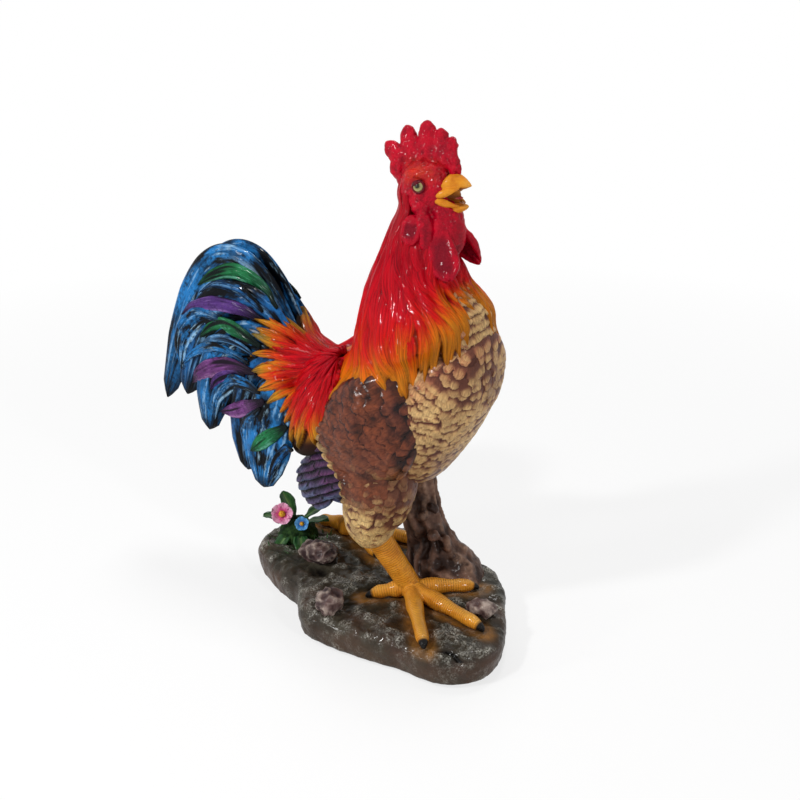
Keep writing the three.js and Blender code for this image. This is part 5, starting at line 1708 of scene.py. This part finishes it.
def make_ear_lobe(name, side):
    top = on_head(-0.02, side * 0.98, -0.7)
    end = top + vec(-1.1, side * 6, -20)
    form = Form(blade(line(top, end), 14, 8, (0.75, 1, 1, 0.85), unit(vec(0.2, side, 0.1))), 0.3, 0.35)
    points, faces, normals, tt, turn = form_grid(form, 56, 60)
    face = np.abs(np.sin(turn))
    relief = 0.6 * lumps(points, 2.6, 2) - 3.4 * ease(0.6, 0.95, face) * bell(tt, 0.52, 0.26)
    relief = relief + bell(face, 0.35, 0.25)
    points = push(points, normals, 0.5 * relief)
    values = {"relief": 0.6 * relief, "brow": 0.0}
    make_piece(f"{name}_ear_lobe_flesh", points, faces, COMB, (f"{name}_ear_lobe",), values)


def make_beak():
    finish = beak_finish()
    upper = ((38, 350, 22, 6), (43, 353.5, 19.5, 10), (48, 356.6, 16.6, 13.2), (53.5, 357.6, 12.4, 11.8))
    upper += ((59.5, 357, 7, 7), (64.6, 356, 1.6, 1.8))
    lower = ((38, 345, 22, 4.6), (43, 343, 18.5, 6.8), (48, 340.3, 14.5, 9.4), (54, 339.7, 11, 8))
    lower += ((59.5, 340.6, 6.6, 4.4), (62.4, 341.4, 2.2, 1.8))
    # the mouth is a recess on each side of a thin wall
    wall = ((38, 347, 23, 5), (42, 347, 19, 7), (48, 347.4, 9, 10), (56, 347.6, 3.4, 12))
    upper_lip = ((57, 4.6, 7.0), (48, 8.6, 3.8), (38.6, 12.0, 0.5))
    lower_lip = ((57, 4.6, -4.6), (48, 8.6, -3.4), (38.6, 12.0, -0.5))
    halves = (("upper_beak", -1, (upper, wall), upper_lip), ("lower_beak", 1, (lower,), lower_lip))
    for node, facing, sections, route in halves:
        meshes = []
        for rows in sections:
            form = Form([cross(x, MID, z, wide, deep) for x, z, wide, deep in rows], 0.1, 0.2)
            meshes.append(skin_mesh(form, 48, 40))
        for _, side in SIDES:
            lip = [vec(x, MID + side * y, 347 + up) for x, y, up in route]
            meshes.append(limb_mesh(lip, (3.0, 5.6, 4.6), 0.2, 0.4, 24, 16))
        piece = fuse(f"{node}_horn", meshes, 0.5, 8)
        points, normals = read_points(piece)
        across = np.abs(points[:, 1] - MID)
        # inside and lining: the mouth's darker lining, with painted shade inside and along the gap
        inside = ease(0.3, 0.8, normals[:, 2] * facing) * ease(9, 5, across)
        span = np.interp(points[:, 0], (38, 42, 48, 56), (10.4, 9.0, 5.2, 3))
        lining = ease(1.2, 0.4, across - span) * bell(points[:, 2], 347.3, 5) * ease(58, 56.5, points[:, 0])
        hollow = inside * ease(61, 55, points[:, 0]) * ease(3, 5, across) * 1.8
        rough = 0.12 * lumps(points, 2.5, 2)
        points = push(points - np.outer(hollow, vec(0, 0, facing)), normals, rough)
        tip = ease(57, 63, points[:, 0])
        write_points(piece, points, inside=np.maximum(inside, lining) * (1 - 0.4 * tip), tip=0.4 * tip)
        dress(piece, finish, (node,))
    piece = cad_copy("tongue", "tongue_flesh", 0.4, 4)
    dress(piece, tongue_finish(), ("tongue",))


def make_eyes():
    finish = eye_finish()
    # the lids are painted dark: the socket's own dark red, with painted shade round the eye
    lid = flesh_finish("eyelid dark", (104, 6, 26), (44, 6, 14), (70, 10, 18))
    sphere, torus = bpy.ops.mesh.primitive_uv_sphere_add, bpy.ops.mesh.primitive_torus_add
    for name, side in SIDES:
        at = on_head(0.1, side * 0.9, 0.22)
        ball = primitive(f"{name}_eyeball", sphere, at, segments=48, ring_count=32, radius=4.2 * MM)
        points, _ = read_points(ball)
        gaze = unit(vec(0.2, side, 0.34))
        angle = np.arccos(np.clip(unit(points - at) @ gaze, -1, 1)) / (math.pi / 2)
        write_points(ball, points, gaze=angle)
        dress(ball, finish, (f"{name}_eye",))
        cover = primitive(f"{name}_upper_eyelid", sphere, at, segments=48, ring_count=32, radius=4.9 * MM)
        points, _ = read_points(cover)
        gap = points - at
        above = unit(vec(-0.62, 0.1 * side, 1))
        tuck = 1 - 0.34 * ease(2.6, 1.6, gap @ above)
        write_points(cover, push(at, gap, tuck), relief=lumps(points, 1.6, 2), brow=0.0)
        dress(cover, lid)
        face = unit(vec(0.3, side, 0.12))
        shape = {"major_radius": 4.0 * MM, "minor_radius": 0.9 * MM}
        shape.update(major_segments=48, minor_segments=14)
        turn = Vector(face).to_track_quat("Z", "Y").to_euler()
        ring = primitive(f"{name}_eyelid", torus, at + face * 1.7, rotation=turn, **shape)
        points, normals = read_points(ring)
        relief = lumps(points, 1.6, 2)
        write_points(ring, push(points, normals, 0.15 * relief), relief=relief, brow=0.0)
        dress(ring, lid)


# Legs


def make_shank(name, side):
    leg = LEGS[side]
    knee, ankle = leg["knee"], leg["ankle"]
    heel = knee + (ankle - knee) * 1.2
    root = knee + (ankle - knee) * 0.7
    spur = [root, root + vec(-0.9, side * 0.1, 0.42) * 15, root + vec(-0.9, side * 0.1, 0.62) * 25]
    shank = [knee + (knee - ankle) * 0.1, (knee + ankle) / 2, ankle, heel]
    limbs = [(shank, (21, 19.5, 18, 16), False), (spur, (10, 7, 2), False)]
    for turn, length in leg["toes"]:
        limbs.append((toe_route(side, turn, length), (15, 12.6, 9, 2.6), True))
    meshes, routes = [], []
    for points, widths, is_toe in limbs:
        t = np.linspace(0, 1, 40)
        fine = spline(points, t)
        wide = spline(np.array(widths, float)[:, None], t)[:, 0]
        if is_toe:
            wide = wide * (1 + 0.09 * np.cos(2 * math.pi * t * 3.2) * ease(0.95, 0.8, t))
        meshes.append(limb_mesh(fine, wide, 0.03, 0.03, 60, 24))
        run = np.concatenate([[0], np.cumsum(np.linalg.norm(np.diff(fine, axis=0), axis=1))])
        routes.append((fine, run, is_toe))
    piece = fuse(f"{name}_leg_scales", meshes, 0.7, 4)
    points, normals = read_points(piece)
    points[:, 2] = np.maximum(points[:, 2], GROUND + 0.2)
    best = np.full(len(points), np.inf)
    ring, claw = np.zeros(len(points)), np.zeros(len(points))
    for fine, run, is_toe in routes:
        gaps = np.linalg.norm(points[:, None] - fine[None], axis=2)
        k, near = gaps.argmin(axis=1), gaps.min(axis=1)
        take = near < best
        best = np.where(take, near, best)
        ahead = unit(np.gradient(fine, axis=0))
        along = run[k] + np.sum((points - fine[k]) * ahead[k], axis=1)
        ring = np.where(take, along / 1.9, ring)
        end = ease(run[-1] - 7.5, run[-1] - 5.0, along) if is_toe else np.zeros(len(points))
        claw = np.where(take, end, claw)
    swell = 0.25 * lumps(points, 6, 2)
    points = push(points, normals, swell * (1 - claw))
    # painted highlight on the faces of the toes that look up
    pale = 0.5 * ease(0.5, 1, normals[:, 2]) * ease(GROUND + 16, GROUND + 6, points[:, 2])
    write_points(piece, points, ring=ring + 0.25 * lumps(points, 8, 1), claw=claw, pale=pale)
    dress(piece, LEG, (f"{name}_shank_and_foot",))


# The base, stump, rocks and flowers


def flat_distance(points, route):
    """How far each point lies from a route, seen from above."""
    near = np.full(len(points), np.inf)
    for x, y in route[:, :2]:
        near = np.minimum(near, np.hypot(points[:, 0] - x, points[:, 1] - y))
    return near


def toe_distance(points):
    """How far each point lies from the nearest toe, seen from above."""
    toes = [(side, *toe) for _, side in SIDES for toe in LEGS[side]["toes"]]
    routes = [spline(toe_route(*toe), np.linspace(0, 1, 30)) for toe in toes]
    return flat_distance(points, np.vstack(routes))


# A crack in the ground, seen from above
CRACK = ((86, -60), (93.7, -56.7), (102, -58.5), (109, -56))


def make_base():
    piece = cad_copy("base_casting", "base_ground", 1.3, 6)
    points, normals = read_points(piece)
    near = toe_distance(points)
    top = ease(19, 27, points[:, 2])
    free = ease(3, 13, near)
    ridge = creases(points * vec(1, 1.4, 1) + 90, 24) ** 3 + 0.5 * creases(points + 30, 11) ** 4
    relief = 0.8 * lumps(points, 30, 2) + 1.1 * (ridge - 0.55) + 0.5 * lumps(points + 40, 9, 3)
    split = bell(flat_distance(points, spline(CRACK, np.linspace(0, 1, 40))), 0, 1.5)
    rise = top * free * (2.4 * relief + 0.5) - top * 4.5 * split
    side = (1 - top) * ease(0, 6, points[:, 2])
    folds = 0.9 * lumps(points * vec(1, 1, 0.5), 16, 2) + 0.5 * lumps(points, 6, 2)
    points = push(points, normals, rise + side * folds)
    points[:, 2] = np.maximum(points[:, 2], 0)
    ochre = bell(near, 5, 5) * top
    moss = bell(np.hypot(points[:, 0] + 104, points[:, 1] - 16), 0, 30) * top
    # one value for the pale dry-brush flecks on the ridges and for the painted shade in the hollows and the
    # crack
    flecks_and_hollow_shade = np.where(top > 0.5, relief - 2.5 * split, 0.7 * folds)
    rim = 0.6 * side * ease(24, 12, points[:, 2])
    # the ground round the feet darkened: dark airbrush, with painted shade
    dim = 0.55 * bell(near, 15, 11) * top
    write_points(piece, points, relief=flecks_and_hollow_shade, ochre=0.7 * ochre, moss=moss, rim=rim, dim=dim)
    dress(piece, ground_finish(), ("base_casting",))


# The stump's sections: how far up, how far over to its top, how much of the flare is left
STUMP_PROFILE = (
    (-0.03, 0, 1),
    (0.07, 0.1, 0.8),
    (0.17, 0.38, 0.33),
    (0.3, 0.72, 0.08),
    (0.48, 0.92, 0),
    (0.68, 1, 0),
    (0.86, 1, 0),
)
# Its knots: the place and the width of each
KNOTS = (
    (40, 34, 62, 15),
    (44, 38, 50, 15),
    (33, 26, 70, 12),
    (20, 28, 84, 10),
    (14, 44, 60, 12),
    (52, 42, 38, 15),
    (30, 30, 92, 11),
    (34, 24, 40, 14),
    (46, 30, 34, 13),
)
# Its hollows: the place, the width and the depth of each
HOLLOWS = (((26, 26, 56), 8.0, 9), ((14, 25, 41), 7.0, 8), ((38, 22, 43), 4.5, 4))


def make_stump():
    foot, top = vec(33, 42), vec(7, 36)
    sections = []
    for up, lean, flare in STUMP_PROFILE:
        at = foot + (top - foot) * lean
        half = (TRUNK_WIDE + (FLARE_WIDE - TRUNK_WIDE) * flare) / 2
        sections.append((vec(*at, GROUND + up * STUMP_TALL), vec(half, 0, 0), vec(0, 0.86 * half, 0)))
    meshes = [skin_mesh(Form(sections), 60, 56)]
    for x, y, z, wide in KNOTS:
        route = [vec(x - 4, y - 4, z - 3), vec(x + 3, y - 2, z + 3)]
        meshes.append(limb_mesh(route, (wide, wide), 0.5, 0.5, 16, 16))
    piece = fuse("stump_bark", meshes, 1.1, 16)
    points, normals = read_points(piece)
    around = np.arctan2(points[:, 1] - 40, points[:, 0] - 20)
    bark = np.sin(around * 9 + 0.08 * points[:, 2] + 3.2 * lumps(points, 24, 2))
    relief = 0.6 * bark + 0.7 * lumps(points * vec(1, 1, 0.5), 10, 2) + 0.4 * lumps(points + 20, 5, 2)
    points = push(points, normals, 1.7 * relief)
    for at, wide, depth in HOLLOWS:
        near = np.linalg.norm((points - vec(*at)) * vec(1, 1, 0.7), axis=1)
        hole = bell(near, 0, wide)
        points = push(points, vec(-0.2, 1, 0), depth * hole)
        # painted shade in the hollows
        relief = relief - 2.4 * hole
    write_points(piece, points, relief=relief)
    dress(piece, BARK, ("tree_stump",))


def make_rocks():
    for node in ("rock_by_flowers", "rock_at_edge", "rock_by_toes"):
        piece = cad_copy(node, f"{node}_stone", 0.8, 3)
        points, normals = read_points(piece)
        relief = lumps(points, 7, 3) + 1.3 * (creases(points, 8) - 0.7) * 2
        write_points(piece, push(points, normals, 1.2 * relief), relief=relief)
        dress(piece, ROCK, (node,))


CLUMP = vec(-107, 28, GROUND)


def pointing(turn, tilt):
    a, e = math.radians(turn), math.radians(tilt)
    return vec(math.cos(e) * math.cos(a), math.cos(e) * math.sin(a), math.sin(e))


def make_clump():
    ball = bpy.ops.mesh.primitive_ico_sphere_add
    piece = primitive("moss_cushion", ball, vec(0, 0, 0), subdivisions=5, radius=1)
    ball = read_points(piece)[0] * MM
    points = ball * vec(17, 17, 18) + CLUMP
    points = push(points, ball, 1.6 * lumps(points, 5, 3))
    points[:, 2] = np.maximum(points[:, 2], GROUND - 1)
    write_points(piece, points)
    dress(piece, moss_finish(), ("moss_clump",))
    batch = Batch()
    for _ in range(90):
        turn, out = rng.uniform(0, 360), rng.uniform(8, 27)
        root = CLUMP + pointing(turn, 0) * out + vec(6, -6, -0.5)
        if out > 17 and rng.random() < 0.4:
            continue
        lean = pointing(rng.uniform(0, 360), rng.uniform(45, 80))
        tall = rng.uniform(5, 10)
        side = unit(np.cross(lean, vec(0, 0, 1)))
        v = np.linspace(0, 1, 5)
        path = push(push(root, lean, tall * v), vec(0, 0, -2.2), v**2)
        half = side * (0.9 * np.interp(v, (0, 0.4, 1), (0.8, 1, 0.1)))[:, None]
        thick = np.cross(lean, side) * 0.3
        rings = np.stack([path + half, path + thick, path - half, path - thick], axis=1)
        values = {"along": np.repeat(v, 4), "across": np.tile((1.0, 0, -1.0, 0), 5), "tone": rng.random()}
        batch.add(rings.reshape(-1, 3), tube_faces(5, 4), **values)
    batch.piece("grass_tufts", LEAF, "moss")


def add_petal(batch, root, out, up, length, width, cup, thick, tone):
    """A soft petal or leaf from root along out, with up as its face, closed all round."""
    side = unit(np.cross(up, out))
    rows, columns = 12, 9
    v, u = np.meshgrid(np.linspace(0, 1, rows), np.linspace(-1, 1, columns), indexing="ij")
    half = width / 2 * np.interp(v, (0, 0.2, 0.55, 0.82, 0.95, 1), (0.25, 0.62, 1, 0.86, 0.46, 0.08))
    rise = cup * (v**2) * length + 0.1 * width * u**2 * ease(0, 0.5, v) - 0.07 * width * bell(u, 0, 0.22)
    rise = rise + 0.04 * width * np.sin(5 * v * math.pi + 2 * u + 9 * tone) * np.abs(u)
    sheet = push(push(push(root, out, v * length), side, u * half), up, rise)
    rim = thick / 2 * (1 - u**2) ** 0.5
    upper, lower = push(sheet, up, rim), push(sheet, up, -rim)[:, -2:0:-1]
    rings = np.concatenate([upper, lower], axis=1)
    sides = rings.shape[1]
    across = np.tile(np.concatenate([u[0], u[0, -2:0:-1]]), rows)
    along = np.repeat(v[:, 0], sides)
    batch.add(rings.reshape(-1, 3), tube_faces(rows, sides), along=along, across=across, tone=tone)


def make_flowers():
    face = pointing(-58, 32)
    level = unit(np.cross(vec(0, 0, 1), face))
    rise = np.cross(face, level)
    pollen = pollen_finish()
    pink = petal_finish("petal pink", (240, 178, 206), (206, 70, 136), (224, 150, 60))
    blue = petal_finish("petal blue", (104, 176, 232), (40, 112, 196), (226, 220, 150))
    flowers = (
        ("pink_flower", vec(-8, -11, 24), 18.5, pink, "pink", 0.1),
        ("blue_flower", vec(9, -6, 17), 12.0, blue, "blue", 0.35),
    )
    for name, offset, wide, finish, slot, twist in flowers:
        at = CLUMP + offset
        batch = Batch()
        for k in range(5):
            a = 2 * math.pi * (k + twist) / 5
            out = unit(level * math.cos(a) + rise * math.sin(a) + 0.12 * face)
            tone = 0.13 * k + twist
            add_petal(batch, at - face * 0.6, out, face, wide * 0.52, wide * 0.58, 0.12, 1.3, tone)
        stalk = Form(limb([at - face * 1.5, at - face * 8 + vec(0, 0, -8)], (3, 3)))
        points, faces, _, _ = stalk.mesh(10, 12)
        batch.add(points, faces, along=0.3, across=0.0, tone=0.5)
        batch.piece(f"{name}_bloom", finish, slot, name + "_petals")
        ball = bpy.ops.mesh.primitive_ico_sphere_add
        centre = primitive(f"{name}_pollen", ball, at + face * 0.9, subdivisions=4, radius=0.15 * wide * MM)
        points, normals = read_points(centre)
        write_points(centre, push(points, normals, 0.35 * lumps(points, 0.9, 1)))
        dress(centre, pollen, (name + "_centre",))
    leaves = ((160, 48), (196, 12), (262, -24), (314, -20), (60, 30), (8, 24))
    for i, (turn, tilt) in enumerate(leaves):
        out, up = pointing(turn, tilt), pointing(turn, tilt + 90)
        batch = Batch()
        root = CLUMP + vec(0, 0, 12) + out * 7
        add_petal(batch, root, out, up, 25, 14, -0.12, 1.8, 0.17 * i)
        batch.piece(f"leaf_blade_{i + 1}", LEAF, "leaf", f"leaf_{i + 1}")


# The whole bird

make_torso()
make_hackle()
make_core()
for name, side in SIDES:
    make_wing(name, side)
    make_thigh(name, side)
    make_flight(name, side)
    make_flank(name, side)
    make_saddle(name, side)
    make_shank(name, side)
    make_wattle(name, side)
    make_ear_lobe(name, side)
    for index, finish in enumerate((SICKLE_BLUE, SICKLE_DARK, SICKLE_BLUE, SICKLE_DARK, SICKLE_BLUE)):
        make_sickle(index, name, side, finish)
    make_coverts(name, side)
make_head()
make_comb()
make_beak()
make_eyes()
make_base()
make_stump()
make_rocks()
make_clump()
make_flowers()

# The hidden steel keeps its own solid, with a brushed look
STEEL = steel_finish()
for node in ("right_leg_rod", "left_leg_rod", "neck_dowel", "tail_dowel"):
    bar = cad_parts[node]
    bar.data.materials.clear()
    bar.data.materials.append(STEEL)


# Studio: a pale floor, soft lamps and the photograph's own viewpoint


def rays_seen(nodes, links):
    """1 for rays from the camera, from gloss and through glass, 0 for the light that falls on the object."""
    rays = nodes.new("ShaderNodeLightPath")
    seen = rays.outputs["Is Camera Ray"]
    for key in ("Is Glossy Ray", "Is Transmission Ray"):
        either = nodes.new("ShaderNodeMath")
        either.operation = "MAXIMUM"
        links.new(seen, either.inputs[0])
        links.new(rays.outputs[key], either.inputs[1])
        seen = either.outputs[0]
    return seen


def floor_finish():
    """White paper that glows towards the camera, and so fades into the white round it."""
    paper = bpy.data.materials.new("floor paper white")
    paper.use_nodes = True
    nodes, links = paper.node_tree.nodes, paper.node_tree.links
    nodes.clear()
    place = nodes.new("ShaderNodeTexCoord")
    away = nodes.new("ShaderNodeVectorMath")
    away.operation = "LENGTH"
    links.new(place.outputs["Object"], away.inputs[0])
    fade = nodes.new("ShaderNodeMapRange")
    for key, number in (("From Min", 0.3), ("From Max", 1.1), ("To Min", 0.74), ("To Max", 1.0)):
        fade.inputs[key].default_value = number
    links.new(away.outputs["Value"], fade.inputs["Value"])
    share = nodes.new("ShaderNodeMath")
    share.operation = "MULTIPLY"
    links.new(rays_seen(nodes, links), share.inputs[0])
    links.new(fade.outputs["Result"], share.inputs[1])
    matt = nodes.new("ShaderNodeBsdfDiffuse")
    matt.inputs["Color"].default_value = (0.86, 0.86, 0.86, 1)
    glow = nodes.new("ShaderNodeEmission")
    glow.inputs["Color"].default_value = (1, 1, 1, 1)
    blend = nodes.new("ShaderNodeMixShader")
    for i, part in enumerate((share, matt, glow)):
        links.new(part.outputs[0], blend.inputs[i])
    result = nodes.new("ShaderNodeOutputMaterial")
    links.new(blend.outputs[0], result.inputs["Surface"])
    return paper


def light_backdrop(world):
    """White where it is seen, dimmer as a light."""
    world.use_nodes = True
    nodes, links = world.node_tree.nodes, world.node_tree.links
    level = nodes.new("ShaderNodeMapRange")
    level.inputs["To Min"].default_value = 0.27
    level.inputs["To Max"].default_value = 1.0
    links.new(rays_seen(nodes, links), level.inputs["Value"])
    backdrop = nodes["Background"]
    backdrop.inputs["Color"].default_value = (1, 1, 1, 1)
    links.new(level.outputs["Result"], backdrop.inputs["Strength"])


def add_lamp(name, place, aim, size, power):
    bpy.ops.object.light_add(type="AREA", location=place)
    lamp = bpy.context.active_object
    lamp.name = name
    lamp.data.shape = "RECTANGLE"
    lamp.data.size, lamp.data.size_y = size
    lamp.data.energy = power
    lamp.rotation_euler = (Vector(aim) - Vector(place)).to_track_quat("-Z", "Y").to_euler()


bpy.ops.mesh.primitive_plane_add(size=40, location=(0, 0, -0.0004))
floor = bpy.context.active_object
floor.name = "studio_floor"
floor.data.materials.append(floor_finish())

add_lamp("key softbox", (-0.5, -1.2, 1.35), (0, 0, 0.2), (0.14, 0.14), 15)
add_lamp("side softbox", (-0.95, -1.5, 0.5), (0, 0, 0.2), (0.2, 0.2), 7)
add_lamp("fill softbox", (1.3, -0.55, 0.9), (0, 0, 0.2), (0.14, 0.14), 6)
add_lamp("top softbox", (-0.1, 0.35, 1.5), (0, 0, 0.2), (0.4, 0.4), 9)

world = bpy.data.worlds.new("studio")
bpy.context.scene.world = world
light_backdrop(world)

AIM = Vector((0.020, -0.008, 0.195))
FROM = Vector((0.4913, -0.7863, 0.3746))
DISTANCE = 0.9
bpy.ops.object.camera_add(location=AIM + FROM * DISTANCE)
camera = bpy.context.active_object
camera.rotation_euler = (-FROM).to_track_quat("-Z", "Y").to_euler()
camera.data.sensor_width = 36
camera.data.lens = 54.45
camera.data.clip_end = 100
bpy.context.scene.camera = camera
bpy.context.scene.view_settings.view_transform = "Standard"
